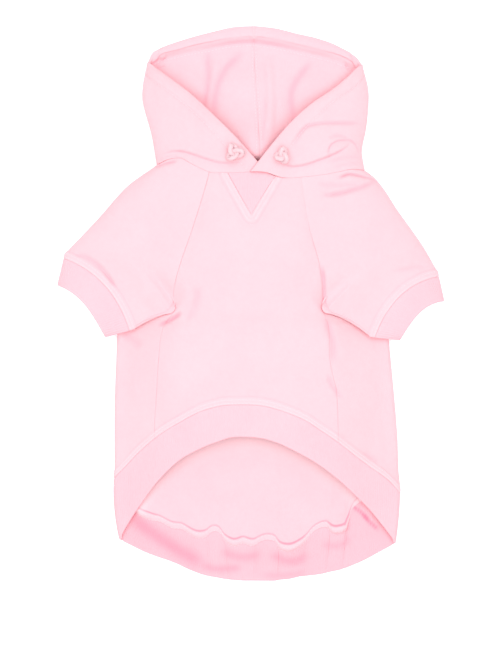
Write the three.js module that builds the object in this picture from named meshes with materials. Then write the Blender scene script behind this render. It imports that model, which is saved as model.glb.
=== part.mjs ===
import * as THREE from "three";
import { mergeVertices } from "three/addons/utils/BufferGeometryUtils.js";

// A small dog's hoodie in pale pink sweatshirt fleece, lying flat on its back with the belly side up.
// Millimetres, +X to the right as seen from above, +Y towards the hood, +Z up, z = 0 is the surface it lies on.
// Left and right are as seen from above. The model is centred over the origin at the end.

// Cut sizes of the garment, measured with it laid flat
const CHEST_FLAT = 246;
const BODY_LENGTH = 365;
const NECK_FLAT = 188;
const HOOD_FLAT = 202;
const HOOD_HEIGHT = 134;
const SLEEVE_LENGTH = 115;
const SLEEVE_FLAT = 92;
const CUFF_LENGTH = 24.5;
const CUFF_FLAT = 62;
const GUSSET_WIDTH = 43;
const GUSSET_DEPTH = 38;

// Heights at which the cloth stands as it lies
const BODY_LOFT = 32;
const SLEEVE_LOFT = 26;
const CUFF_LOFT = 21;
const FLAP_LOFT = 32;
const SIDE_FOLD = 8;
const HOOD_FOLD = 16;
const RIM_HEIGHT = 9;
const RIM_WIDTH = 16;

// Walls, seams and cord
const FLEECE_WALL = 2;
const RIB_WALL = 2.4;
const HOOD_WALL = 2.4;
const SEAM_GAP = 0.8;
const FLAP_OVERLAP = 3.6;
const CORD_DIAMETER = 4;
const KNOT_RADIUS = 4.6;
const KNOT_GAP = 0.3;

// Where the underarm point lies, as a share of the body length below the neck seam
const UNDERARM = 0.343;
const TURN_LENGTH = 32;
const UNDERARM_GAP = 1.8;

const halfChest = CHEST_FLAT / 2;
const halfNeck = NECK_FLAT / 2;
const halfHood = HOOD_FLAT / 2;
const foldRadius = SIDE_FOLD / 2;

// Outline of the body. down is a share of the body length below the neck seam, left and right
// are shares of half the chest width from the centre line, crown is a share of the body loft.
const BODY = [
  { down: -0.02, left: -0.44, right: 0.46, crown: 0.94 },
  { down: 0.16, left: -0.5, right: 0.505, crown: 0.98 },
  { down: 0.28, left: -0.59, right: 0.52, crown: 1 },
  { down: 0.343, left: -0.64, right: 0.544, crown: 1 },
  { down: 0.356, left: -0.685, right: 0.59, crown: 1 },
  { down: 0.37, left: -0.776, right: 0.67, crown: 1 },
  { down: 0.385, left: -0.86, right: 0.76, crown: 1 },
  { down: 0.4, left: -0.945, right: 0.815, crown: 1 },
  { down: 0.417, left: -0.995, right: 0.91, crown: 1 },
  { down: 0.431, left: -1.004, right: 0.978, crown: 1 },
  { down: 0.557, left: -1.013, right: 1.003, crown: 0.94 },
  { down: 0.65, left: -1.017, right: 1.028, crown: 0.88 },
  { down: 0.73, left: -1.02, right: 1.046, crown: 0.8 },
  { down: 0.78, left: -1.03, right: 1.06, crown: 0.74 },
  { down: 0.84, left: -1.013, right: 1.053, crown: 0.64 },
  { down: 0.905, left: -0.972, right: 1.024, crown: 0.55 },
  { down: 1, left: -0.9, right: 0.96, crown: 0.45 },
];

// Where the front starts to rise from the side, in the same shares. Above the underarm
// the sleeves carry it, so the rise starts far out.
const RISE = [
  { down: -0.02, left: -1.4, right: 1.4 },
  { down: 0.16, left: -1.3, right: 1.25 },
  { down: 0.24, left: -1.05, right: 0.97 },
  { down: 0.3, left: -0.8, right: 0.7 },
  { down: 0.343, left: -0.64, right: 0.544 },
];
const RISE_WIDTH = 0.5;

// Sides of the front panel: raglan seam down to the underarm, then side seam
const FRONT_EDGE = [
  { down: -0.02, left: -0.325, right: 0.34 },
  { down: 0.008, left: -0.33, right: 0.344 },
  { down: 0.132, left: -0.44, right: 0.4 },
  { down: 0.224, left: -0.534, right: 0.474 },
  { down: 0.29, left: -0.585, right: 0.503 },
  { down: 0.343, left: -0.61, right: 0.512 },
  { down: 0.38, left: -0.665, right: 0.545 },
  { down: 0.46, left: -0.695, right: 0.553 },
  { down: 0.54, left: -0.71, right: 0.6 },
  { down: 0.62, left: -0.725, right: 0.611 },
];

// Hem seam and free edge of the ribbed band. across is a share of the width from the left fold
// to the right fold, the other columns are shares of the body length below the neck seam.
const HEM_FRONT = [
  { across: 0, seam: 0.748, edge: 0.903 },
  { across: 0.06, seam: 0.678, edge: 0.845 },
  { across: 0.18, seam: 0.611, edge: 0.731 },
  { across: 0.285, seam: 0.569, edge: 0.683 },
  { across: 0.39, seam: 0.55, edge: 0.652 },
  { across: 0.473, seam: 0.549, edge: 0.645 },
  { across: 0.59, seam: 0.569, edge: 0.665 },
  { across: 0.7, seam: 0.596, edge: 0.708 },
  { across: 0.8, seam: 0.64, edge: 0.763 },
  { across: 0.9, seam: 0.695, edge: 0.832 },
  { across: 1, seam: 0.786, edge: 0.912 },
];
const HEM_BACK = [
  { across: 0, seam: 0.748, edge: 0.903 },
  { across: 0.08, seam: 0.838, edge: 0.923 },
  { across: 0.15, seam: 0.861, edge: 0.936 },
  { across: 0.27, seam: 0.885, edge: 0.979 },
  { across: 0.31, seam: 0.897, edge: 0.988 },
  { across: 0.35, seam: 0.882, edge: 0.994 },
  { across: 0.4, seam: 0.91, edge: 0.999 },
  { across: 0.52, seam: 0.907, edge: 1 },
  { across: 0.6, seam: 0.927, edge: 0.996 },
  { across: 0.68, seam: 0.915, edge: 0.984 },
  { across: 0.75, seam: 0.873, edge: 0.974 },
  { across: 0.82, seam: 0.86, edge: 0.965 },
  { across: 0.9, seam: 0.83, edge: 0.946 },
  { across: 1, seam: 0.786, edge: 0.912 },
];

// Neck seam as it shows on the front, from the left neck corner to the right one
const NECK = [
  { across: 0, down: -0.016 },
  { across: 0.1, down: -0.034 },
  { across: 0.16, down: -0.026 },
  { across: 0.25, down: 0 },
  { across: 0.35, down: 0.004 },
  { across: 0.47, down: 0 },
  { across: 0.6, down: 0.012 },
  { across: 0.72, down: 0.008 },
  { across: 0.86, down: -0.004 },
  { across: 1, down: -0.006 },
];

// How each side lies. Turns are degrees below the X axis, the rest are shares of the cut sizes.
const SIDES = {
  left: {
    sign: -1,
    neckCorner: 0.94,
    sleeve: { turn: 44, length: 1, width: 1, widthTurn: 47.8, bow: 0.127 },
    cuff: { turn: 75.7, length: 1.04, width: 1.035, widthTurn: 48.1, bow: 0.1 },
    shoulder: [
      { along: 0, bow: 0 },
      { along: 0.28, bow: 0.05 },
      { along: 0.62, bow: 0.022 },
      { along: 1, bow: 0 },
    ],
    hood: [
      { along: 0, side: -0.87, rise: 0.05, edge: 0.036, edgeRise: 0.006, height: 0.96 },
      { along: 0.2, side: -0.91, rise: 0.228, edge: -0.116, edgeRise: 0.208, height: 0.94 },
      { along: 0.4, side: -0.964, rise: 0.4, edge: -0.33, edgeRise: 0.369, height: 0.86 },
      { along: 0.6, side: -0.995, rise: 0.51, edge: -0.545, edgeRise: 0.523, height: 0.76 },
      { along: 0.8, side: -0.98, rise: 0.638, edge: -0.777, edgeRise: 0.658, height: 0.64 },
      { along: 1, side: -0.946, rise: 0.752, edge: -0.89, edgeRise: 0.72, height: 0.5 },
    ],
    crownBow: 0.07,
    flapLift: 0,
    knot: { across: -0.155, up: 0.14, turn: 20 },
  },
  right: {
    sign: 1,
    neckCorner: 1.06,
    sleeve: { turn: 53, length: 0.95, width: 0.915, widthTurn: 43.9, bow: 0.146 },
    cuff: { turn: 77.4, length: 1.09, width: 0.853, widthTurn: 41.6, bow: 0.138 },
    shoulder: [
      { along: 0, bow: 0.02 },
      { along: 0.09, bow: 0.048 },
      { along: 0.22, bow: 0.026 },
      { along: 0.36, bow: 0 },
      { along: 1, bow: 0 },
    ],
    hood: [
      { along: 0, side: 0.98, rise: 0.03, edge: -0.036, edgeRise: 0.013, height: 0.96 },
      { along: 0.2, side: 0.946, rise: 0.161, edge: 0.165, edgeRise: 0.201, height: 0.95 },
      { along: 0.4, side: 0.982, rise: 0.309, edge: 0.348, edgeRise: 0.356, height: 0.88 },
      { along: 0.6, side: 1.005, rise: 0.463, edge: 0.518, edgeRise: 0.47, height: 0.78 },
      { along: 0.8, side: 1, rise: 0.577, edge: 0.732, edgeRise: 0.584, height: 0.64 },
      { along: 1, side: 0.951, rise: 0.738, edge: 0.9, edgeRise: 0.7, height: 0.5 },
    ],
    crownBow: 0.05,
    flapLift: 1,
    knot: { across: 0.26, up: 0.115, turn: -15 },
  },
};

// Share of the sleeve's length at which its underarm seam starts
const SLEEVE_OPEN = 0.7;

// Ridges and valleys of the front, the sleeves and the flaps. Ends are shares of half the
// chest width and of the body length, height is a share of the body loft and width of half the chest.
const CREASES = [
  { fromAcross: -0.42, fromDown: 0.25, toAcross: -0.36, toDown: 0.365, height: 0.094, width: 0.073 },
  { fromAcross: -0.53, fromDown: 0.345, toAcross: -0.64, toDown: 0.368, height: -0.094, width: 0.049 },
  { fromAcross: 0.6, fromDown: 0.03, toAcross: 0.88, toDown: 0.02, height: -0.094, width: 0.041 },
  { fromAcross: -1.22, fromDown: 0.2, toAcross: -0.98, toDown: 0.28, height: -0.094, width: 0.049 },
  { fromAcross: 0.56, fromDown: 0.5, toAcross: 0.62, toDown: 0.6, height: -0.094, width: 0.065 },
];

// Low folds that stand up in the back of the hood. Ends are shares of half the hood width and of
// its height, height is a share of the thickness of its side fold and width of half its width.
const HOOD_FOLDS = [
  { fromAcross: -0.39, fromUp: 0.75, toAcross: -0.41, toUp: 0.45, height: 0.25, width: 0.06 },
  { fromAcross: -0.18, fromUp: 0.78, toAcross: -0.34, toUp: 0.42, height: 0.25, width: 0.06 },
  { fromAcross: 0.11, fromUp: 0.8, toAcross: 0.14, toUp: 0.32, height: 0.25, width: 0.06 },
  { fromAcross: 0.49, fromUp: 0.7, toAcross: 0.36, toUp: 0.36, height: 0.25, width: 0.06 },
];

// Grid steps of the pieces
const FRONT_STEPS = 20;
const BACK_STEPS = 19;
const LENGTH_STEPS = 18;
const SLEEVE_STEPS = 9;
const SLEEVE_ROWS = 11;
const HOOD_STEPS = 9;
const HOOD_ROWS = 13;
const GUSSET_STEPS = 6;
const GUSSET_ROWS = 5;
const EDGE_STEPS = 60;

function clamp01(value) {
  return Math.min(Math.max(value, 0), 1);
}

function mix(a, b, share) {
  return a + (b - a) * share;
}

function smooth(from, to, value) {
  const share = clamp01((value - from) / (to - from));
  return share * share * (3 - 2 * share);
}

// Height of a rounded edge at a share of its radius from the outline
function roundEdge(share) {
  const rest = 1 - clamp01(share);
  return Math.sqrt(1 - rest * rest);
}

// Reads a column of a table, smoothly between its rows
function read(rows, by, column, at) {
  const last = rows.length - 1;
  let row = 0;
  while (row < last - 1 && at > rows[row + 1][by]) {
    row += 1;
  }
  const slope = (index) => {
    const before = rows[Math.max(index - 1, 0)];
    const after = rows[Math.min(index + 1, last)];
    return (after[column] - before[column]) / (after[by] - before[by]);
  };
  const width = rows[row + 1][by] - rows[row][by];
  const t = clamp01((at - rows[row][by]) / width);
  const from = rows[row][column] * (1 + 2 * t) * (1 - t) * (1 - t);
  const to = rows[row + 1][column] * t * t * (3 - 2 * t);
  const leave = slope(row) * width * t * (1 - t) * (1 - t);
  const arrive = slope(row + 1) * width * t * t * (1 - t);
  return from + to + leave - arrive;
}

// Height of a set of straight ridges at a point, each fading over its width and its ends
function ridges(x, y, rows) {
  let height = 0;
  for (const row of rows) {
    const along = new THREE.Vector2(row.to.x - row.from.x, row.to.y - row.from.y);
    const length = along.length();
    along.divideScalar(length);
    const reach = (x - row.from.x) * along.x + (y - row.from.y) * along.y;
    const aside = (x - row.from.x) * along.y - (y - row.from.y) * along.x;
    const past = Math.max(-reach, reach - length, 0);
    height += row.height * Math.exp(-((aside * aside + past * past) / (row.width * row.width)));
  }
  return height;
}

const bodyCreases = CREASES.map((row) => ({
  from: { x: row.fromAcross * halfChest, y: -row.fromDown * BODY_LENGTH },
  to: { x: row.toAcross * halfChest, y: -row.toDown * BODY_LENGTH },
  height: row.height * BODY_LOFT,
  width: row.width * halfChest,
}));

const hoodFolds = HOOD_FOLDS.map((row) => ({
  from: { x: row.fromAcross * halfHood, y: row.fromUp * HOOD_HEIGHT },
  to: { x: row.toAcross * halfHood, y: row.toUp * HOOD_HEIGHT },
  height: row.height * HOOD_FOLD,
  width: row.width * halfHood,
}));

function bodyOutline(side, down) {
  return halfChest * read(BODY, "down", side.name, down);
}

function frontEdge(side, down) {
  return halfChest * read(FRONT_EDGE, "down", side.name, down);
}

// Height of the upper layer of the body, from its fold at the side up to the crown
function topHeight(x, down) {
  const rows = down < UNDERARM ? RISE : BODY;
  const left = halfChest * read(rows, "down", "left", down);
  const right = halfChest * read(rows, "down", "right", down);
  const inside = Math.min(x - left, right - x);
  const crown = BODY_LOFT * read(BODY, "down", "crown", down) - SIDE_FOLD;
  const lip = foldRadius * (1 + roundEdge(inside / foldRadius));
  return lip + crown * smooth(0, 1, inside / (RISE_WIDTH * halfChest));
}

function frontPoint(x, down) {
  const y = -down * BODY_LENGTH;
  return new THREE.Vector3(x, y, topHeight(x, down) + ridges(x, y, bodyCreases));
}

// Length of cloth in the quarter turn of a side fold
const turnLength = (foldRadius * Math.PI) / 2;

// A point on the body at a length of cloth from its side fold, on the front if reach is positive
function bodyPoint(side, down, reach) {
  const outline = bodyOutline(side, down);
  const angle = Math.min(Math.abs(reach) / turnLength, 1) * (Math.PI / 2);
  const flat = Math.max(Math.abs(reach) - turnLength, 0);
  const inside = foldRadius * (1 - Math.cos(angle)) + flat;
  const x = outline - side.sign * inside;
  if (reach < 0) {
    return new THREE.Vector3(x, -down * BODY_LENGTH, foldRadius * (1 - Math.sin(angle)));
  }
  const shape = BODY_LOFT * read(BODY, "down", "crown", down) - SIDE_FOLD;
  const rise = shape * smooth(0, 1, inside / (RISE_WIDTH * halfChest));
  const height = foldRadius * (1 + Math.sin(angle)) + rise;
  const y = -down * BODY_LENGTH;
  return new THREE.Vector3(x, y, height + ridges(x, y, bodyCreases) * Math.sin(angle));
}

// Length of cloth from the side fold to the edge of the back panel: its side seam up to the
// underarm, and above that the raglan seam, which goes round the fold to the underside
function backEdgeReach(side, down) {
  if (down >= UNDERARM) {
    return Math.abs(bodyOutline(side, down) - frontEdge(side, down)) - foldRadius + turnLength;
  }
  const atUnderarm = backEdgeReach(side, UNDERARM);
  const above = (UNDERARM - down) * BODY_LENGTH;
  return mix(atUnderarm, -turnLength - foldRadius / 2, smooth(0, TURN_LENGTH, above));
}

function backEdge(side, down) {
  return bodyPoint(side, down, backEdgeReach(side, down));
}

// Where the hem seam or the band's free edge crosses a line of cloth on the body
function hemDown(side, reach, column) {
  let down = HEM_BACK[0][column];
  for (let pass = 0; pass < 6; pass += 1) {
    const left = bodyOutline(SIDES.left, down);
    const right = bodyOutline(SIDES.right, down);
    const across = (bodyPoint(side, down, reach).x - left) / (right - left);
    down = read(reach > 0 ? HEM_FRONT : HEM_BACK, "across", column, clamp01(across));
  }
  return down;
}

// Neck seam on the front, from the left corner to the right one
function neckPoint(across) {
  const x = halfNeck * mix(-SIDES.left.neckCorner, SIDES.right.neckCorner, across);
  const down = read(NECK, "across", "down", across);
  const inside = Math.min(across, 1 - across) * NECK_FLAT;
  const crown = topHeight(x, down);
  const round = roundEdge(inside / (0.25 * NECK_FLAT));
  return new THREE.Vector3(x, -down * BODY_LENGTH, mix(SIDE_FOLD, crown, round));
}

function neckAcross(x) {
  const left = -halfNeck * SIDES.left.neckCorner;
  const right = halfNeck * SIDES.right.neckCorner;
  return (x - left) / (right - left);
}

// The back of the neck seam runs straight between the two neck corners
function backNeckDown(x) {
  return mix(NECK[0].down, NECK[NECK.length - 1].down, neckAcross(x));
}

const gussetLeft = -0.19 * halfChest;
const gussetRight = gussetLeft + GUSSET_WIDTH;
const gussetTip = mix(gussetLeft, gussetRight, 0.49);

// Top edge of the front panel with the notch for the gusset
function frontTop(x) {
  const neck = read(NECK, "across", "down", neckAcross(x));
  const left = (x - gussetLeft) / (gussetTip - gussetLeft);
  const right = (gussetRight - x) / (gussetRight - gussetTip);
  return neck + (GUSSET_DEPTH / BODY_LENGTH) * clamp01(Math.min(left, right));
}

// Rows of the grid, which stop short of a seam at either end by half its gap
function shares(steps, length) {
  const short = SEAM_GAP / 2 / length;
  return Array.from({ length: steps + 1 }, (_, step) => mix(short, 1 - short, step / steps));
}

// Rows of a panel, half of them below the underarm point and half above it
function rowDown(bottom, top, share) {
  const half = 2 * share;
  return half < 1 ? mix(bottom, UNDERARM, half) : mix(UNDERARM, top, half - 1);
}

// A closed wall from a grid of points on its outer face. The inner face lies a wall's thickness
// behind it. A ring's grid closes on itself in its first direction. below and above are the
// neighbour's next points past a seam, so that both sides of the seam lean alike.
function wall(grid, thickness, facing, ring, below, above) {
  const columns = grid.length;
  const rows = grid[0].length;
  const clampColumn = (i) => (ring ? (i + columns) % columns : Math.min(Math.max(i, 0), columns - 1));
  const points = [];
  const inner = [];
  for (let i = 0; i < columns; i += 1) {
    for (let j = 0; j < rows; j += 1) {
      const point = grid[i][j];
      const along = grid[clampColumn(i + 1)][j].clone().sub(grid[clampColumn(i - 1)][j]);
      const next = j < rows - 1 ? grid[i][j + 1] : (above ? above[i] : point);
      const last = j > 0 ? grid[i][j - 1] : (below ? below[i] : point);
      const up = next.clone().sub(last);
      const normal = along.cross(up).normalize().multiplyScalar(facing);
      const depth = typeof thickness === "function" ? thickness(i, j) : thickness;
      points.push(point.x, point.y, point.z);
      inner.push(point.x - normal.x * depth, point.y - normal.y * depth, point.z - normal.z * depth);
    }
  }
  const count = columns * rows;
  const faces = [];
  const quad = (a, b, c, d) => {
    if (facing > 0) {
      faces.push(a, b, c, a, c, d);
    } else {
      faces.push(a, c, b, a, d, c);
    }
  };
  const node = (i, j) => clampColumn(i) * rows + j;
  for (let i = 0; i < (ring ? columns : columns - 1); i += 1) {
    for (let j = 0; j < rows - 1; j += 1) {
      quad(node(i, j), node(i + 1, j), node(i + 1, j + 1), node(i, j + 1));
      quad(count + node(i, j), count + node(i, j + 1), count + node(i + 1, j + 1), count + node(i + 1, j));
    }
    quad(node(i, 0), count + node(i, 0), count + node(i + 1, 0), node(i + 1, 0));
    const top = rows - 1;
    quad(node(i, top), node(i + 1, top), count + node(i + 1, top), count + node(i, top));
  }
  if (!ring) {
    const far = columns - 1;
    for (let j = 0; j < rows - 1; j += 1) {
      quad(node(0, j), node(0, j + 1), count + node(0, j + 1), count + node(0, j));
      quad(node(far, j), count + node(far, j), count + node(far, j + 1), node(far, j + 1));
    }
  }
  const geometry = new THREE.BufferGeometry();
  geometry.setAttribute("position", new THREE.Float32BufferAttribute(points.concat(inner), 3));
  geometry.setIndex(faces);
  return geometry;
}

const fleece = new THREE.MeshStandardMaterial({ color: 0xffe1e9, roughness: 0.95, metalness: 0 });
const rib = new THREE.MeshStandardMaterial({ color: 0xfddde6, roughness: 0.9, metalness: 0 });
const cordCloth = new THREE.MeshStandardMaterial({ color: 0xf9c9d6, roughness: 0.85, metalness: 0 });

const hoodie = new THREE.Group();

function add(name, geometry, material) {
  const mesh = new THREE.Mesh(geometry, material);
  mesh.name = name;
  hoodie.add(mesh);
  return mesh;
}

for (const name of Object.keys(SIDES)) {
  SIDES[name].name = name;
}

// Front panel, from the hem arc up to the neck seam, with the notch of the gusset
function frontColumn(share) {
  let bottom = HEM_FRONT[0].seam;
  let top = 0;
  const xAt = (down) => {
    const clear = UNDERARM_GAP * (1 - smooth(0, TURN_LENGTH / 2, Math.abs(down - UNDERARM) * BODY_LENGTH));
    return mix(frontEdge(SIDES.left, down) + clear, frontEdge(SIDES.right, down) - clear, share);
  };
  for (let pass = 0; pass < 6; pass += 1) {
    const left = bodyOutline(SIDES.left, bottom);
    const right = bodyOutline(SIDES.right, bottom);
    bottom = read(HEM_FRONT, "across", "seam", (xAt(bottom) - left) / (right - left));
    top = frontTop(xAt(top));
  }
  return { bottom, top, xAt };
}

// Columns that meet the corners and the tip of the notch
function frontShare(x) {
  const down = frontTop(x);
  const left = frontEdge(SIDES.left, down);
  return (x - left) / (frontEdge(SIDES.right, down) - left);
}

const notchShares = [0, frontShare(gussetLeft), frontShare(gussetTip), frontShare(gussetRight), 1];
const columnShares = shares(FRONT_STEPS, CHEST_FLAT / 2).map((share) => {
  const stretch = Math.min(Math.floor(share * 4), 3);
  return mix(notchShares[stretch], notchShares[stretch + 1], share * 4 - stretch);
});
const frontColumns = columnShares.map(frontColumn);
const frontGrid = frontColumns.map((column) =>
  shares(LENGTH_STEPS, BODY_LENGTH).map((share) => {
    const down = rowDown(column.bottom, column.top, share);
    return frontPoint(column.xAt(down), down);
  }),
);

// Back panel, from one side seam round under the body to the other
const BACK_SPREAD = [0, 0.07, 0.14, 0.2, 0.225, 0.25, 0.275, 0.32, 0.37, 0.42, 0.47, 0.52, 0.57, 0.62, 0.68,
  0.74, 0.8, 0.87, 0.94, 1];

function backReach(side, down, share) {
  const edge = backEdgeReach(side, down) - SEAM_GAP / 2;
  const middle = -(Math.abs(bodyOutline(side, down)) - foldRadius + turnLength);
  return mix(edge, middle, share);
}

function backColumn(side, share) {
  let bottom = HEM_BACK[0].seam;
  for (let pass = 0; pass < 8; pass += 1) {
    bottom = hemDown(side, backReach(side, bottom, share), "seam");
  }
  const top = backNeckDown(bodyPoint(side, 0, backReach(side, 0, share)).x);
  return shares(LENGTH_STEPS, BODY_LENGTH).map((step) => {
    const down = rowDown(bottom, top, step);
    return bodyPoint(side, down, backReach(side, down, share));
  });
}

const backGrid = [
  ...BACK_SPREAD.map((share) => backColumn(SIDES.left, share)),
  ...BACK_SPREAD.slice(0, BACK_STEPS).reverse().map((share) => backColumn(SIDES.right, share)),
];

// Ribbed hem band: a ring sewn to the bottom of both panels. Its free edge is shared out by its
// length on either side, so that the ribs run square to the seam where it climbs round the folds.
function hemPoint(across, onFront) {
  const down = read(onFront ? HEM_FRONT : HEM_BACK, "across", "edge", across);
  const left = bodyOutline(SIDES.left, down);
  const right = bodyOutline(SIDES.right, down);
  const x = mix(left, right, across);
  const inside = Math.min(x - left, right - x);
  const under = foldRadius * (1 - roundEdge(inside / foldRadius));
  return new THREE.Vector3(x, -down * BODY_LENGTH, onFront ? topHeight(x, down) : under);
}

function bandHalf(side, stations) {
  const fold = side.sign < 0 ? 0 : 1;
  const path = [];
  for (let step = 0; step <= EDGE_STEPS; step += 1) {
    const turn = Math.cos(Math.PI * (step / EDGE_STEPS));
    path.push(hemPoint(mix(fold, 0.48, Math.abs(turn)), turn > 0));
  }
  const edge = new THREE.CatmullRomCurve3(path);
  const lengths = [0];
  for (let i = 1; i < stations.length; i += 1) {
    lengths.push(lengths[i - 1] + stations[i].distanceTo(stations[i - 1]));
  }
  const whole = lengths[lengths.length - 1];
  return stations.map((seam, i) => {
    const free = edge.getPointAt(lengths[i] / whole);
    const before = stations[Math.max(i - 1, 0)];
    const along = stations[Math.min(i + 1, stations.length - 1)].clone().sub(before).normalize();
    const out = free.clone().sub(seam);
    const slant = Math.max(out.clone().normalize().cross(along).length() ** 2, 0.22);
    return [SEAM_GAP / slant / out.length(), 0.5, 1].map((share) => seam.clone().lerp(free, share));
  });
}

const frontMiddle = FRONT_STEPS / 2;
const backMiddle = BACK_SPREAD.length - 1;
const frontSeam = frontGrid.map((column) => column[0]);
const backSeam = backGrid.map((column) => column[0]);
const leftHalf = bandHalf(SIDES.left, [
  ...frontSeam.slice(0, frontMiddle + 1).reverse(),
  ...backSeam.slice(0, backMiddle + 1),
]);
const rightHalf = bandHalf(SIDES.right, [...frontSeam.slice(frontMiddle), ...backSeam.slice(backMiddle).reverse()]);
const bandGrid = [
  ...leftHalf.slice(0, frontMiddle + 1).reverse(),
  ...rightHalf.slice(1, -1),
  ...leftHalf.slice(frontMiddle + 1).reverse(),
];
const frontCount = frontGrid.length;
const bandBelowFront = bandGrid.slice(0, frontCount).map((column) => column[1]);
const bandBelowBack = bandGrid.slice(frontCount).reverse().map((column) => column[1]);
const panelsAbove = [...frontGrid, ...backGrid.slice().reverse()].map((column) => column[1]);
add("front_panel", wall(frontGrid, FLEECE_WALL, 1, false, bandBelowFront), fleece);
add("back_panel", wall(backGrid, FLEECE_WALL, -1, false, bandBelowBack), fleece);
add("hem_band", wall(bandGrid, RIB_WALL, -1, true, panelsAbove), rib);

// Ribbed gusset let into the front of the neck
const gussetInset = SEAM_GAP * Math.hypot(1, GUSSET_WIDTH / 2 / GUSSET_DEPTH);
const gussetBlunt = (2 * gussetInset) / GUSSET_WIDTH + 0.05;
const gussetGrid = Array.from({ length: GUSSET_STEPS + 1 }, (_, column) =>
  Array.from({ length: GUSSET_ROWS + 1 }, (_, row) => {
    const rise = mix(gussetBlunt, 1, row / GUSSET_ROWS);
    const left = mix(gussetTip, gussetLeft, rise) + gussetInset;
    const right = mix(gussetTip, gussetRight, rise) - gussetInset;
    const x = mix(left, right, column / GUSSET_STEPS);
    const neck = read(NECK, "across", "down", neckAcross(x)) + SEAM_GAP / 2 / BODY_LENGTH;
    return frontPoint(x, neck + (1 - rise) * (GUSSET_DEPTH / BODY_LENGTH));
  }),
);
add("neck_gusset", wall(gussetGrid, FLEECE_WALL, 1, false), rib);

// Spreads the columns of a tube so that they crowd at its folds
function tubeShare(step, steps) {
  return (1 - Math.cos((Math.PI * step) / steps)) / 2;
}

// Height of the body under a point, for what lies on it
function bodyUnder(x, y) {
  const down = -y / BODY_LENGTH;
  const inside = Math.min(x - bodyOutline(SIDES.left, down), bodyOutline(SIDES.right, down) - x);
  const near = smooth(-3 * foldRadius, -foldRadius / 4, inside) * smooth(UNDERARM - 0.06, UNDERARM, down);
  return near * (topHeight(x, Math.max(down, UNDERARM)) + FLEECE_WALL);
}

function turned(side, degrees, length) {
  const angle = (degrees * Math.PI) / 180;
  return new THREE.Vector3(side.sign * Math.cos(angle) * length, -Math.sin(angle) * length, 0);
}

// The fold at the top of a sleeve, from the neck corner to the cuff seam
function shoulderPoint(side, along) {
  const length = SLEEVE_LENGTH * side.sleeve.length;
  const corner = neckPoint(side.sign < 0 ? 0 : 1);
  const outwards = turned(side, side.sleeve.turn - 90, length * read(side.shoulder, "along", "bow", along));
  const point = corner.clone().add(turned(side, side.sleeve.turn, length * along)).add(outwards);
  point.z = mix(SIDE_FOLD, CUFF_LOFT / 2, smooth(0, 0.5, along));
  return point;
}

function sleeveEnd(side) {
  const across = turned(side, side.sleeve.widthTurn, SLEEVE_FLAT * side.sleeve.width);
  across.x *= -1;
  const point = shoulderPoint(side, 1).add(across);
  point.z = Math.max(CUFF_LOFT / 2, bodyUnder(point.x, point.y) + foldRadius);
  return point;
}

// The edge of a sleeve on its front or back: the raglan seam, then the underarm seam
function sleeveEdge(side, along, onFront) {
  const share = along / SLEEVE_OPEN;
  const underarm = backEdge(side, UNDERARM);
  if (share < 1 && onFront) {
    const start = read(NECK, "across", "down", neckAcross(frontEdge(side, 0)));
    const down = mix(start, UNDERARM, share);
    return frontPoint(frontEdge(side, down), down);
  }
  if (share < 1) {
    return backEdge(side, mix(backNeckDown(backEdge(side, 0).x), UNDERARM, share));
  }
  const past = (along - SLEEVE_OPEN) / (1 - SLEEVE_OPEN);
  const point = underarm.clone().lerp(sleeveEnd(side), past);
  point.z += onFront ? 0.5 * SEAM_GAP : -0.5 * SEAM_GAP;
  return point;
}

// A tube's height between its two folds. The dome is full at an edge that is still open.
function domeShape(fromFold, fromEdge, open) {
  return roundEdge(fromFold) * mix(1, roundEdge(fromEdge), open);
}

function sleevePoint(side, around, along) {
  const onFront = around <= 0.5;
  const share = onFront ? 2 * around : 2 * (1 - around);
  const edge = sleeveEdge(side, along, onFront);
  const fold = shoulderPoint(side, along);
  const point = edge.clone().lerp(fold, share);
  const width = edge.distanceTo(fold);
  const bow = side.sleeve.bow * width * 4 * share * (1 - share) * smooth(0.5, 1, along);
  const back = turned(side, side.sleeve.turn, bow);
  point.x -= back.x;
  point.y -= back.y;
  const loft = mix(SLEEVE_LOFT, CUFF_LOFT, smooth(0.7, 1, along));
  const closed = smooth(SLEEVE_OPEN - 0.15, SLEEVE_OPEN + 0.1, along);
  if (onFront) {
    const crown = mix(edge.z, loft, smooth(0, 0.5, share) * smooth(-0.2, 0.3, along));
    const dome = domeShape((1 - share) / 0.5, share / 0.3, closed);
    point.z = mix(point.z, Math.max(crown, point.z), dome) + ridges(point.x, point.y, bodyCreases) * dome;
  } else {
    const hold = edge.z * (1 - smooth(foldRadius, 6 * foldRadius, share * width)) * (1 - closed);
    const floor = Math.max(bodyUnder(point.x, point.y), hold);
    const dome = domeShape((1 - share) / 0.3, share / 0.2, 1);
    point.z = mix(point.z, Math.min(floor, point.z), dome);
  }
  return point;
}

// The neck end of a sleeve lies along the neck seam on the front and along the back neck below
function neckEnd(side, around) {
  const corner = side.sign < 0 ? 0 : 1;
  if (around <= 0.5) {
    const start = neckAcross(frontEdge(side, 0));
    return neckPoint(mix(start, corner, 2 * around));
  }
  const back = backEdge(side, backNeckDown(backEdge(side, 0).x));
  const share = 2 * (1 - around);
  const point = back.clone().lerp(neckPoint(corner), share);
  point.z = SIDE_FOLD * (1 - roundEdge((1 - share) / 0.3));
  return point;
}

function sleeveSurface(side, around, along) {
  const point = sleevePoint(side, around, along);
  const lift = neckEnd(side, around).sub(sleevePoint(side, around, 0));
  point.add(lift.multiplyScalar(1 - smooth(0, 0.4, along)));
  point.z = Math.max(point.z, 0);
  return point;
}

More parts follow.
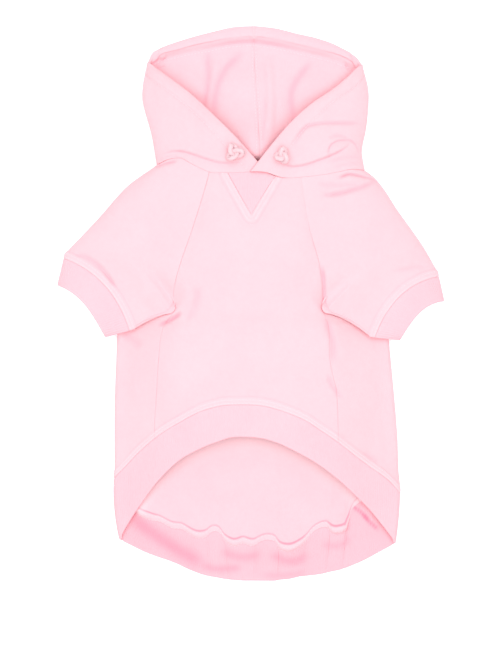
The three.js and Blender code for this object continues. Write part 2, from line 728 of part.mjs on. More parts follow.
// Columns of a sleeve, front layer then back layer, stopping short of the seams
function sleeveArounds() {
  const list = [];
  for (let step = 0; step <= 2 * SLEEVE_STEPS; step += 1) {
    const share = tubeShare(step % SLEEVE_STEPS, SLEEVE_STEPS);
    const whole = step < SLEEVE_STEPS ? share / 2 : 0.5 + share / 2;
    list.push(step === 2 * SLEEVE_STEPS ? 1 : whole);
  }
  const short = SEAM_GAP / SLEEVE_FLAT / 2;
  return list.map((value) => mix(short, 1 - short, value));
}

for (const side of Object.values(SIDES)) {
  const arounds = sleeveArounds();
  const grid = arounds.map((around) =>
    shares(SLEEVE_ROWS, SLEEVE_LENGTH).map((along) => sleeveSurface(side, around, along)),
  );

  // Ribbed cuff: a ring that starts along the sleeve's end and narrows to its opening
  const foldEnd = shoulderPoint(side, 1).add(turned(side, side.cuff.turn, CUFF_LENGTH * side.cuff.length));
  const across = turned(side, side.cuff.widthTurn, CUFF_FLAT * side.cuff.width);
  across.x *= -1;
  const edgeEnd = foldEnd.clone().add(across);
  const cuffGrid = arounds.map((around) => {
    const onFront = around <= 0.5;
    const share = onFront ? 2 * around : 2 * (1 - around);
    const seam = sleeveSurface(side, around, 1);
    const opening = edgeEnd.clone().lerp(foldEnd, share);
    const bow = side.cuff.bow * across.length() * 4 * share * (1 - share);
    opening.sub(turned(side, side.cuff.turn, bow));
    const dome = roundEdge((1 - share) / 0.35) * roundEdge(share / 0.35);
    const middle = Math.max(CUFF_LOFT / 2, bodyUnder(opening.x, opening.y) + foldRadius);
    const low = bodyUnder(opening.x, opening.y);
    opening.z = onFront ? mix(middle, CUFF_LOFT, dome) : mix(middle, low, dome);
    const gap = SEAM_GAP / 2 / CUFF_LENGTH;
    return [gap, 0.35, 0.7, 1].map((step) => seam.clone().lerp(opening, step));
  });
  const cuffBelow = cuffGrid.map((column) => column[1]);
  const sleeveAbove = grid.map((column) => column[SLEEVE_ROWS - 1]);
  add("sleeve_" + side.name, wall(grid, FLEECE_WALL, -side.sign, false, undefined, cuffBelow), fleece);
  add("cuff_" + side.name, wall(cuffGrid, RIB_WALL, -side.sign, true, sleeveAbove), rib);
}

// Hood: each half runs from the centre seam, along the surface to the side fold, and back over
// the top to its free edge. It is stitched to the neck below and rolled into a tunnel above.
function hoodRow(side, along) {
  const value = (column) => read(side.hood, "along", column, along);
  const fold = new THREE.Vector3(halfHood * value("side"), HOOD_HEIGHT * value("rise"), HOOD_FOLD / 2);
  const edge = new THREE.Vector3(halfHood * value("edge"), HOOD_HEIGHT * value("edgeRise"), 0);
  edge.z = FLAP_LOFT * value("height");
  edge.z += side.flapLift * FLAP_OVERLAP * (1 - smooth(0, 0.4, along));
  const centre = new THREE.Vector3(0, mix(-backNeckDown(0) * BODY_LENGTH, HOOD_HEIGHT, along), 0);
  return { fold, edge, centre };
}

function hoodPoint(side, around, along) {
  const row = hoodRow(side, along);
  if (around <= 0.5) {
    const share = 2 * around;
    const point = row.centre.clone().lerp(row.fold, share);
    point.y += side.crownBow * HOOD_HEIGHT * 4 * share * (1 - share) * along * along;
    const round = roundEdge((1 - share) / 0.12);
    point.z = mix(row.fold.z, ridges(point.x, point.y, hoodFolds) * smooth(0, 0.2, along), round);
    return point;
  }
  const share = 2 * (around - 0.5);
  const point = row.fold.clone().lerp(row.edge, share);
  const width = row.fold.distanceTo(row.edge);
  point.z = mix(row.fold.z, row.edge.z, roundEdge((share * width) / (0.5 * width + 0.375 * HOOD_FOLD)));
  return point;
}

function hoodNeck(side, around) {
  const corner = side.sign < 0 ? 0 : 1;
  const free = neckAcross(halfHood * side.hood[0].edge);
  if (around > 0.5) {
    const share = 2 * (around - 0.5);
    const point = neckPoint(mix(corner, free, share));
    point.z += side.flapLift * FLAP_OVERLAP * smooth(0.75, 0.92, share);
    return point;
  }
  const share = 2 * around;
  const start = new THREE.Vector3(0, -backNeckDown(0) * BODY_LENGTH, 0);
  const point = start.lerp(neckPoint(corner), share);
  point.z = SIDE_FOLD * (1 - roundEdge((1 - share) / 0.3));
  return point;
}

function hoodSurface(side, around, along) {
  const point = hoodPoint(side, around, along);
  const lift = hoodNeck(side, around).sub(hoodPoint(side, around, 0));
  point.add(lift.multiplyScalar(1 - smooth(0, 0.35, along)));
  point.z = Math.max(point.z, 0);
  return point;
}

for (const side of Object.values(SIDES)) {
  const arounds = [];
  for (let step = 0; step <= HOOD_STEPS; step += 1) {
    const short = SEAM_GAP / 2 / halfHood;
    arounds.push(mix(short, 0.5, Math.sin((Math.PI / 2) * (step / HOOD_STEPS))));
  }
  for (let step = 1; step <= HOOD_STEPS; step += 1) {
    arounds.push(0.5 + 0.5 * (1 - Math.cos((Math.PI / 2) * (step / HOOD_STEPS))));
  }
  const alongs = Array.from({ length: HOOD_ROWS + 1 }, (_, step) =>
    mix(SEAM_GAP / HOOD_HEIGHT, 1, Math.sin((Math.PI / 2) * (step / HOOD_ROWS))),
  );
  const grid = arounds.map((around) => alongs.map((along) => hoodSurface(side, around, along)));
  const rimShare = RIM_WIDTH / HOOD_HEIGHT;
  const thickness = (i, j) => {
    const inRim = clamp01((alongs[j] - (1 - rimShare)) / rimShare);
    const roll = Math.sin(Math.PI * Math.min(inRim, 0.85)) * (1 - smooth(0.42, 0.5, arounds[i]));
    return HOOD_WALL + RIM_HEIGHT * roll;
  };
  add("hood_" + side.name, wall(grid, thickness, -side.sign, false), fleece);

  // Overhand knot in the end of the drawcord, lying on the flap
  const knot = add(
    "knot_" + side.name,
    new THREE.TorusKnotGeometry(KNOT_RADIUS, CORD_DIAMETER / 2, 40, 6, 2, 3),
    cordCloth,
  );
  const x = halfHood * side.knot.across;
  const y = HOOD_HEIGHT * side.knot.up;
  const flap = grid.slice(HOOD_STEPS).flat();
  const under = flap.filter((point) => Math.hypot(point.x - x, point.y - y) < 2 * KNOT_RADIUS);
  const rest = Math.max(...under.map((point) => point.z), 0);
  knot.position.set(x, y, rest + (KNOT_RADIUS + CORD_DIAMETER) / 2 + KNOT_GAP);
  knot.rotation.z = (side.knot.turn * Math.PI) / 180;
}

// Only position is kept, and shared corners are merged so that each piece is one closed body
hoodie.traverse((piece) => {
  if (piece.isMesh) {
    piece.geometry.deleteAttribute("normal");
    piece.geometry.deleteAttribute("uv");
    piece.geometry = mergeVertices(piece.geometry, 1e-3);
  }
});

const box = new THREE.Box3().setFromObject(hoodie);
hoodie.position.set(-(box.min.x + box.max.x) / 2, -(box.min.y + box.max.y) / 2, -box.min.z);

export default hoodie;
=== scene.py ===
import math

import bpy
import numpy as np
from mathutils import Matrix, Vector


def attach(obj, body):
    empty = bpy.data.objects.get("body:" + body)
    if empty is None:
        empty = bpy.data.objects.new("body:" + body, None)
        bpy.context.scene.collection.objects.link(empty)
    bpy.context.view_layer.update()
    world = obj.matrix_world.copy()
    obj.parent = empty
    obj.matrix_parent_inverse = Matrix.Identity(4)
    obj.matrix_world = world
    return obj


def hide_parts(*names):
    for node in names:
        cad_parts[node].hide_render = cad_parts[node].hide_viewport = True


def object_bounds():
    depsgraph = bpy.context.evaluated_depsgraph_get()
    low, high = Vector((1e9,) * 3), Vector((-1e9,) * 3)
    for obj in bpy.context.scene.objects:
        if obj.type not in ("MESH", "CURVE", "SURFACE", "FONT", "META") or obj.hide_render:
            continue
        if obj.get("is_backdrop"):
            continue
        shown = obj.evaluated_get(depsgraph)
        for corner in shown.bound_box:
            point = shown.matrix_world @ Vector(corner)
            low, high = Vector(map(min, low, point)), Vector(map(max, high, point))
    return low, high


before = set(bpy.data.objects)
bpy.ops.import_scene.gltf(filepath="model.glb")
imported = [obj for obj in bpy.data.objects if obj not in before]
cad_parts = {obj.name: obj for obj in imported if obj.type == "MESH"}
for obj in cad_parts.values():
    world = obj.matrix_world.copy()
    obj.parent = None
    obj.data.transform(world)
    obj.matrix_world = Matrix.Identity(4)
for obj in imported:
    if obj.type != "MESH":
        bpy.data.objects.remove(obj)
cad_box = [list(corner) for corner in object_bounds()]

# The table, the light and the camera.
# The hoodie lies on a plain white table under a wide soft box, and the camera looks straight down.
# A pixel of the photograph spans PHOTO_PITCH millimetres.
MM = 0.001
PHOTO_PITCH = 0.9
PIXEL = PHOTO_PITCH * MM
PHOTO_WIDTH, PHOTO_HEIGHT = 500, 667
PHOTO_CENTRE_X, PHOTO_CENTRE_Y = 250.5, 302.5
CAMERA_HEIGHT = 1.9
CLOTH_HEIGHT = 0.008
SENSOR = 36
DAYLIGHT = 0.73
LIGHT_PLACE = (-0.08, 0.14, 1.7)
LIGHT_SIZE = 2.4
LIGHT_POWER = 32.5
HALF_TABLE = 4

scene = bpy.context.scene
scene.view_settings.view_transform = "Standard"
scene.view_settings.look = "None"
scene.view_settings.exposure = 0
world = bpy.data.worlds.new("daylight")
scene.world = world
world.use_nodes = True
sky = world.node_tree.nodes["Background"]
sky.inputs["Color"].default_value = (1, 1, 1, 1)
sky.inputs["Strength"].default_value = DAYLIGHT

camera = bpy.data.objects.new("camera", bpy.data.cameras.new("camera"))
scene.collection.objects.link(camera)
scene.camera = camera
camera.data.sensor_fit = "AUTO"
camera.data.sensor_width = SENSOR
camera.data.lens = SENSOR * (CAMERA_HEIGHT - CLOTH_HEIGHT) / (PHOTO_HEIGHT * PIXEL)
camera.location = (
    (PHOTO_WIDTH / 2 - PHOTO_CENTRE_X) * PIXEL,
    (PHOTO_CENTRE_Y - PHOTO_HEIGHT / 2) * PIXEL,
    CAMERA_HEIGHT,
)

light = bpy.data.objects.new("soft_box", bpy.data.lights.new("soft_box", "AREA"))
light.data.shape = "SQUARE"
light.data.size = LIGHT_SIZE
light.data.energy = LIGHT_POWER
light.location = LIGHT_PLACE
x, y, z = LIGHT_PLACE
light.rotation_euler = (math.acos(z / math.hypot(x, y, z)), 0, math.atan2(-x, y))
scene.collection.objects.link(light)

table = bpy.data.objects.new("table", bpy.data.meshes.new("table"))
corners = [(x * HALF_TABLE, y * HALF_TABLE, 0) for x, y in ((-1, -1), (1, -1), (1, 1), (-1, 1))]
table.data.from_pydata(corners, [], [(0, 1, 2, 3)])
scene.collection.objects.link(table)
table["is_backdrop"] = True


class Sock:
    """A node socket that can be added, multiplied and so on, as numbers are."""

    tree = None

    def __init__(self, link):
        self.link = link

    @classmethod
    def node(cls, kind, settings=None, output=0, **sockets):
        """Adds a node with its settings, then its sockets, which go by name or, as i0 and i1, by place."""
        node = cls.tree.nodes.new(kind)
        for key, value in (settings or {}).items():
            setattr(node, key, value)
        for key, value in sockets.items():
            by_place = key[0] == "i" and key[1:].isdigit()
            socket = node.inputs[int(key[1:]) if by_place else key.replace("_", " ")]
            if isinstance(value, Sock):
                cls.tree.links.new(value.link, socket)
            else:
                socket.default_value = value
        return cls(node.outputs[output])

    def _math(self, operation, other, swap=False):
        pair = (other, self) if swap else (self, other)
        return Sock.node("ShaderNodeMath", {"operation": operation}, i0=pair[0], i1=pair[1])

    def __add__(self, other):
        return self._math("ADD", other)

    __radd__ = __add__

    def __mul__(self, other):
        return self._math("MULTIPLY", other)

    __rmul__ = __mul__

    def __sub__(self, other):
        return self._math("SUBTRACT", other)

    def __rsub__(self, other):
        return self._math("SUBTRACT", other, swap=True)

    def clamp(self):
        return Sock.node("ShaderNodeClamp", Value=self)

    def sine(self):
        return Sock.node("ShaderNodeMath", {"operation": "SINE"}, i0=self)

    def absolute(self):
        return Sock.node("ShaderNodeMath", {"operation": "ABSOLUTE"}, i0=self)

    def spread(self, low, high):
        """Stretches what lies between two values over 0 to 1."""
        return ((self - low) * (1 / (high - low))).clamp()


def blend_colours(share, first, second):
    return Sock.node(
        "ShaderNodeMix",
        {"data_type": "RGBA"},
        output=2,
        i0=share,
        i6=first if isinstance(first, Sock) else (*first, 1),
        i7=second if isinstance(second, Sock) else (*second, 1),
    )


def new_material(name):
    material = bpy.data.materials.new(name)
    material.use_nodes = True
    Sock.tree = material.node_tree
    return material, material.node_tree.nodes["Principled BSDF"]


def feed(shader, name, value):
    if isinstance(value, Sock):
        Sock.tree.links.new(value.link, shader.inputs[name])
    else:
        shader.inputs[name].default_value = value


table_paint, shader = new_material("table_white")
feed(shader, "Base Color", (0.93, 0.93, 0.93, 1))
feed(shader, "Emission Color", (1, 1, 1, 1))
feed(shader, "Emission Strength", 0.22)
feed(shader, "Roughness", 0.9)
feed(shader, "Specular IOR Level", 0.1)
table.data.materials.append(table_paint)

# The body: a front panel and a back panel of brushed sweatshirt fleece.
# Both are cut flat and sewn at the side seams, which lie on the front because the back is the wider piece.
# The tables hold shares of the cut sizes, and all else is in millimetres until a mesh is made.
CHEST_FLAT = 246
BODY_LENGTH = 365
NECK_FLAT = 188
SIDE_FOLD = 8
BODY_LOFT = 29
FLEECE_WALL = 1.8
UNDERARM = 0.343
RISE_WIDTH = 0.5
PINCH, PINCH_WIDTH = 0.45, 18
LAY_X, LAY_Y = 3.08, 115.54
half_chest = CHEST_FLAT / 2
half_neck = NECK_FLAT / 2
fold_radius = SIDE_FOLD / 2


def table_of(columns, *rows):
    values = np.array(rows, dtype=float)
    return {name: values[:, i] for i, name in enumerate(columns.split())}


def smooth(low, high, value):
    share = np.clip((value - low) / (high - low), 0, 1)
    return share * share * (3 - 2 * share)


def mix(a, b, share):
    return a + (b - a) * share


def round_edge(share):
    rest = 1 - np.clip(share, 0, 1)
    return np.sqrt(1 - rest * rest)


def bell(value, middle, width):
    """1 where a value is at the middle, and fading to 0 on both sides of it."""
    return np.exp(-(((value - middle) / width) ** 2))


def read(rows, column, at):
    """Reads a column of a table, smoothly between its rows. The first column is what it is read by."""
    key = np.array(list(rows.values())[0])
    value = rows[column]
    slope = np.empty_like(value)
    slope[1:-1] = (value[2:] - value[:-2]) / (key[2:] - key[:-2])
    slope[0] = (value[1] - value[0]) / (key[1] - key[0])
    slope[-1] = (value[-1] - value[-2]) / (key[-1] - key[-2])
    at = np.asarray(at, dtype=float)
    row = np.clip(np.searchsorted(key, at, side="right") - 1, 0, len(key) - 2)
    width = key[row + 1] - key[row]
    t = np.clip((at - key[row]) / width, 0, 1)
    return (
        value[row] * (1 + 2 * t) * (1 - t) ** 2
        + value[row + 1] * t * t * (3 - 2 * t)
        + slope[row] * width * t * (1 - t) ** 2
        - slope[row + 1] * width * t * t * (1 - t)
    )


BODY = table_of(
    "down left right crown",
    (-0.02, -0.44, 0.46, 0.94),
    (0.16, -0.5, 0.505, 0.98),
    (0.28, -0.59, 0.52, 1),
    (0.343, -0.72, 0.62, 1),
    (0.352, -0.84, 0.74, 1),
    (0.362, -0.94, 0.86, 1),
    (0.373, -0.985, 0.935, 1),
    (0.386, -1, 0.97, 1),
    (0.402, -1.004, 0.985, 1),
    (0.431, -1.006, 0.995, 1),
    (0.557, -1.02, 1.03, 0.94),
    (0.65, -1.022, 1.052, 0.88),
    (0.73, -1.022, 1.06, 0.8),
    (0.78, -1.03, 1.072, 0.74),
    (0.84, -1.02, 1.066, 0.64),
    (0.905, -0.985, 1.044, 0.55),
    (1, -0.91, 0.98, 0.45),
)
RISE = table_of(
    "down left right",
    (-0.02, -1.4, 1.4),
    (0.16, -1.3, 1.25),
    (0.24, -1.05, 0.97),
    (0.3, -0.98, 0.9),
    (0.35, -0.94, 0.87),
    (0.4, -0.97, 0.93),
    (0.44, -1, 0.98),
)
FRONT_EDGE = table_of(
    "down left right",
    (-0.02, -0.325, 0.34),
    (0.008, -0.33, 0.344),
    (0.132, -0.44, 0.4),
    (0.224, -0.534, 0.474),
    (0.29, -0.585, 0.503),
    (0.343, -0.592, 0.512),
    (0.38, -0.665, 0.545),
    (0.46, -0.695, 0.553),
    (0.54, -0.71, 0.6),
    (0.62, -0.725, 0.611),
)
HEM_FRONT = table_of(
    "across seam edge",
    (0, 0.75, 0.903),
    (0.026, 0.731, 0.878),
    (0.087, 0.686, 0.82),
    (0.159, 0.643, 0.752),
    (0.226, 0.614, 0.706),
    (0.302, 0.586, 0.676),
    (0.374, 0.571, 0.656),
    (0.421, 0.568, 0.647),
    (0.512, 0.569, 0.649),
    (0.578, 0.579, 0.662),
    (0.669, 0.604, 0.694),
    (0.726, 0.63, 0.719),
    (0.783, 0.658, 0.751),
    (0.84, 0.69, 0.789),
    (0.893, 0.719, 0.826),
    (0.955, 0.752, 0.876),
    (1, 0.788, 0.912),
)
NECK = table_of(
    "across down",
    (0, -0.022),
    (0.06, -0.034),
    (0.118, -0.036),
    (0.16, -0.024),
    (0.25, -0.002),
    (0.3, 0.0005),
    (0.39, 0),
    (0.47, -0.002),
    (0.53, 0.0005),
    (0.57, 0.008),
    (0.61, 0.013),
    (0.7, 0.011),
    (0.8, 0.005),
    (0.88, -0.003),
    (0.93, -0.009),
    (1, -0.009),
)
NECK_LEFT, NECK_RIGHT = 0.928, 1.06
GUSSET_WIDTH, GUSSET_DEPTH = 43, 38
gusset_left = -0.19 * half_chest
gusset_right = gusset_left + GUSSET_WIDTH
gusset_tip = mix(gusset_left, gusset_right, 0.49)

PHOTO_CENTRE_LINE, PHOTO_NECK_LINE = 255, 174

# How the upper layer of cloth lies: soft ridges, sharp creases, and lips where cloth rolls over itself;
# creases and the foot of each lip also get painted shade.
# Each has its height and width in millimetres and the places in the photograph that it runs through.
# A lip stands on the left of its line.
LAY = (
    ("lip", 2.6, 8, (160, 158.5), (170, 153.2), (182.7, 152.8), (196, 156.5), (211, 161.5),
     (223, 164.3), (238, 164), (248, 159)),
    ("lip", 3.0, 8, (274, 161), (283, 165), (292.5, 168), (305, 166.5), (320, 161.5),
     (334, 155.8), (345, 149.5), (353, 141)),
    ("crease", 2.4, 1.3, (154, 168.5), (164.8, 165), (172.4, 163.4), (180, 162)),
    ("crease", 3.2, 1.1, (334, 181), (341, 178.5), (349, 175.4), (356, 176), (366, 178), (384, 182)),
    ("crease", 2.3, 2, (318, 197), (334, 195.5), (346, 193), (362, 188), (374, 182.5), (386, 178)),
    ("crease", 0.9, 3, (314, 183.5), (330, 186), (345, 186), (364, 184)),
    ("crease", 3.0, 1.7, (184, 311), (180, 315), (173, 319.5), (166, 323), (158, 325)),
    ("crease", 0.9, 4, (199, 284), (199, 298), (194, 312), (186, 322)),
    ("ridge", 1.4, 6, (184, 268), (190, 288), (196, 306)),
    ("crease", 1.7, 1.7, (69, 257), (84.4, 255.9), (93.4, 260.5), (101, 266), (108, 274),
     (114, 282.5), (121, 297)),
    ("crease", 2.2, 2, (321, 262), (324, 280), (324.8, 298), (324.8, 308), (327, 318)),
    ("crease", 1.6, 3.4, (325, 314), (329, 326), (333, 342), (333, 366)),
    ("crease", 1.3, 2.4, (327, 372), (332, 384), (337, 391.5), (344, 399)),
    ("crease", 0.8, 2.6, (362, 451), (370, 456), (381, 464)),
    ("crease", 1.0, 3.6, (122, 331), (133, 339), (144, 348)),
    ("ridge", 0.8, 6, (194, 122), (212, 137), (226, 149)),
    ("crease", 1.6, 1.8, (294.5, 153), (299, 138), (307, 128.5), (321, 125), (340, 124.5), (370, 124)),
    ("lip", 2, 5, (331, 162), (328.6, 154), (331, 147), (337.3, 142.8), (345, 141.6),
     (351.6, 142), (357, 147), (361, 159)),
    ("crease", 0.8, 1.6, (327, 140), (338.9, 137), (352, 141.5)),
    ("crease", 0.8, 2.2, (326, 164.5), (345, 159), (365, 157)),
    ("crease", 0.6, 2, (330, 169.5), (350, 165), (366, 163.5)),
    ("crease", 0.7, 1.4, (156, 162), (170, 158), (184, 158.5)),
    ("ridge", 0.8, 6, (346, 268), (352, 288), (358, 312)),
    ("crease", 0.7, 2.6, (390, 273), (415, 268), (440, 267)),
    ("ridge", 0.7, 6, (140, 292), (156, 303), (170, 314)),
    ("ridge", 0.9, 8, (130, 372), (138, 400), (150, 425)),
    ("ridge", 0.7, 9, (362, 352), (368, 385), (372, 420)),
    ("ridge", 0.6, 11, (226, 250), (246, 300), (252, 350)),
    ("ridge", 0.6, 11, (292, 240), (282, 292), (290, 345)),
)


def spot(column, row):
    return (column - PHOTO_CENTRE_LINE) * PHOTO_PITCH, (PHOTO_NECK_LINE - row) * PHOTO_PITCH


def length_along(path):
    """The length of a path up to each of its points."""
    return np.insert(np.cumsum(np.linalg.norm(np.diff(path, axis=0), axis=1)), 0, 0)


def rounded_path(places, count=8):
    """A smooth line through some places, as an array of points."""
    places = np.array(places, dtype=float)
    length = length_along(places)
    rows = {"at": length, **{str(k): places[:, k] for k in range(places.shape[1])}}
    at = np.linspace(0, length[-1], count * (len(places) - 1) + 1)
    return np.stack([read(rows, str(k), at) for k in range(places.shape[1])], axis=-1)


def beside(path, x, y):
    """How far points lie beside a line, left of it positive, and at what share of its length."""
    start, step = path[:-1], np.diff(path, axis=0)
    long = np.hypot(step[:, 0], step[:, 1])
    out_x, out_y = x[:, None] - start[:, 0], y[:, None] - start[:, 1]
    t = np.clip((out_x * step[:, 0] + out_y * step[:, 1]) / long**2, 0, 1)
    gap = np.hypot(out_x - t * step[:, 0], out_y - t * step[:, 1])
    best = gap.argmin(axis=1)
    pick = np.arange(len(best)), best
    turn = step[best, 0] * out_y[pick] - step[best, 1] * out_x[pick]
    reached = (np.insert(np.cumsum(long), 0, 0)[best] + t[pick] * long[best]) / long.sum()
    return np.sign(turn) * gap[pick], reached


def folded(x, y, folds):
    """The height of folds in cloth, and their tone: painted shade, deeper pink down in creases and at the
    foot of lips.
    """
    x, y = np.broadcast_arrays(x, y)
    height, shade_light_stitch_tone = np.zeros(x.shape), np.zeros(x.shape)
    for kind, size, width, *places in folds:
        path = rounded_path([spot(*place) for place in places])
        reach = 3 * width + 4
        low, high = path.min(axis=0) - reach, path.max(axis=0) + reach
        near = (x > low[0]) & (x < high[0]) & (y > low[1]) & (y < high[1])
        if not near.any():
            continue
        aside, share = beside(path, x[near], y[near])
        fade = smooth(0, 0.25, share) * smooth(1, 0.75, share)
        if kind == "ridge":
            height[near] += fade * size * bell(aside, 0, width)
        elif kind == "crease":
            height[near] -= fade * size / (1 + (aside / width) ** 2) ** 1.5
            # Painted shade down the middle of a crease.
            shade_light_stitch_tone[near] -= fade * min(size / 5, 1) * bell(aside, 0, 0.9 * width)
        else:
            over = size * (1 - np.exp(-aside / 1.2)) * np.exp(-aside / width)
            height[near] += fade * np.where(aside > 0, over, -0.3 * size * bell(aside, 0, 2.2))
            # Painted shade at the foot of a lip.
            shade_light_stitch_tone[near] -= fade * 0.4 * bell(aside, -0.1, 0.8)
    return height, shade_light_stitch_tone


def ripple(x, y, wave, seed):
    """Soft uneven waves in cloth, of a wavelength in millimetres, the same each run."""
    rng = np.random.default_rng(seed)
    total = 0
    for _ in range(7):
        angle = rng.uniform(0, math.tau)
        size = wave * rng.uniform(0.7, 1.5)
        phase = rng.uniform(0, math.tau)
        total = total + np.sin(math.tau * (x * math.cos(angle) + y * math.sin(angle)) / size + phase)
    return total / 7


def points(x, y, z):
    return np.stack(np.broadcast_arrays(x, y, z), axis=-1).astype(float)


def outline(side, down):
    return half_chest * read(BODY, side, down)


def front_edge(side, down):
    return half_chest * read(FRONT_EDGE, side, down)


def from_sides(x, down):
    """Millimetres from a point of the body to the nearer of its side folds."""
    return np.minimum(x - outline("left", down), outline("right", down) - x)


def rise_limits(down):
    """Where the body starts to rise: at its side folds, and further out under the sleeves."""
    share = smooth(0.37, 0.44, down)
    left = mix(read(RISE, "left", down), read(BODY, "left", down), share)
    right = mix(read(RISE, "right", down), read(BODY, "right", down), share)
    return half_chest * left, half_chest * right


def rise(x, down):
    left, right = rise_limits(down)
    inside = np.minimum(x - left, right - x)
    crown = BODY_LOFT * read(BODY, "crown", down) - SIDE_FOLD
    near_side = mix(PINCH, 1, smooth(-1, PINCH_WIDTH, from_sides(x, down)))
    pinch = mix(1, near_side, smooth(UNDERARM - 0.08, UNDERARM, down))
    return crown * smooth(0, 1, inside / (RISE_WIDTH * half_chest)) * pinch


def top_height(x, down):
    inside = np.where(down < UNDERARM, fold_radius, from_sides(x, down))
    lip = fold_radius * (1 + round_edge(inside / fold_radius))
    return lip + rise(x, down)


def front_point(x, down):
    return points(x, -down * BODY_LENGTH, top_height(x, down))


def drape(grid, upper=1.0):
    """Lays folds and a soft unevenness over a grid, where it is the upper layer. Returns the painted shade of
    its folds.
    """
    x, y = grid[..., 0], grid[..., 1]
    height, shade_light_stitch_tone = folded(x, y, LAY)
    height += 0.45 * ripple(x, y, 42, 3) + 0.15 * ripple(x, y, 14, 4)
    grid[..., 2] += height * upper
    return shade_light_stitch_tone * upper


def across_of(x, down):
    left, right = outline("left", down), outline("right", down)
    return np.clip((x - left) / (right - left), 0, 1)


def neck_across(x):
    return (x + half_neck * NECK_LEFT) / (half_neck * (NECK_LEFT + NECK_RIGHT))


def front_top(x):
    left = (x - gusset_left) / (gusset_tip - gusset_left)
    right = (gusset_right - x) / (gusset_right - gusset_tip)
    notch = GUSSET_DEPTH / BODY_LENGTH * np.clip(np.minimum(left, right), 0, 1)
    return read(NECK, "down", neck_across(x)) + notch


def row_down(bottom, top, share):
    """Rows of a panel from its hem up, so that the middle row is at the underarm."""
    half = 2 * share
    return np.where(half < 1, mix(bottom, UNDERARM, half), mix(UNDERARM, top, half - 1))


# Seams: half the gap between two pieces, how their edges roll in, and the strip held flat beside them
SEAM_HALF = 0.01
SEAM_ROLL, ROLL_WIDTH = 0.36, 1.3
STRIP_WIDTH = 6.6
STRIP_HEIGHT, ROW_DEPTH = 0.45, 0.32
STITCH_ROWS = (1.7, 4.9)
STITCH_SUNK = 0.05
LOWEST = 0.02
NEAR_EDGE = np.array([0, 0.12, 0.3, 0.55, 0.85, 1.2, 1.6])


def steps(length, pitch, first=1.6, last=1.6, gap=SEAM_HALF):
    """Shares along a length of cloth, close together near both ends, where its edge rolls in."""
    start = gap + np.concatenate([NEAR_EDGE, np.arange(2.05, first, 0.45)])
    end = length - gap - np.concatenate([NEAR_EDGE, np.arange(2.05, last, 0.45)])[::-1]
    count = max(int((end[0] - start[-1]) / pitch), 2)
    inner = np.linspace(start[-1], end[0], count + 1)[1:-1]
    return np.concatenate([start, inner, end]) / length


def stitched_strip(distance):
    """Folded seam allowance under the cloth beside a seam, held down by two rows of coverstitch."""
    flat = smooth(0, 0.8, distance) * smooth(STRIP_WIDTH + 0.7, STRIP_WIDTH - 0.3, distance)
    rows = sum(bell(distance, row, 0.45) for row in STITCH_ROWS)
    return STRIP_HEIGHT * flat - ROW_DEPTH * rows


def strip_stitch_and_shade_tone(distance):
    """The tone of that strip: a little paler over it and paler along its stitches, with painted shade just
    past it.
    """
    inside = smooth(0, 0.8, distance) * smooth(STRIP_WIDTH + 0.5, STRIP_WIDTH - 0.5, distance)
    rows = sum(bell(distance, row, 0.8) for row in STITCH_ROWS)
    return 0.06 * inside + 0.4 * rows - 0.16 * bell(distance, STRIP_WIDTH + 1.1, 0.7)


def normals(grid, facing, ring=False):
    along = np.roll(grid, -1, axis=0) - np.roll(grid, 1, axis=0) if ring else np.gradient(grid, axis=0)
    normal = np.cross(along, np.gradient(grid, axis=1))
    return facing * normal / np.maximum(np.linalg.norm(normal, axis=-1, keepdims=True), 1e-9)


def lengths(grid, axis):
    """Millimetres of cloth from each point to the first and to the last end of its row or column."""
    length = np.linalg.norm(np.diff(grid, axis=axis), axis=-1)
    start = np.insert(np.cumsum(length, axis=axis), 0, 0, axis=axis)
    return start, np.take(start, [-1], axis=axis) - start


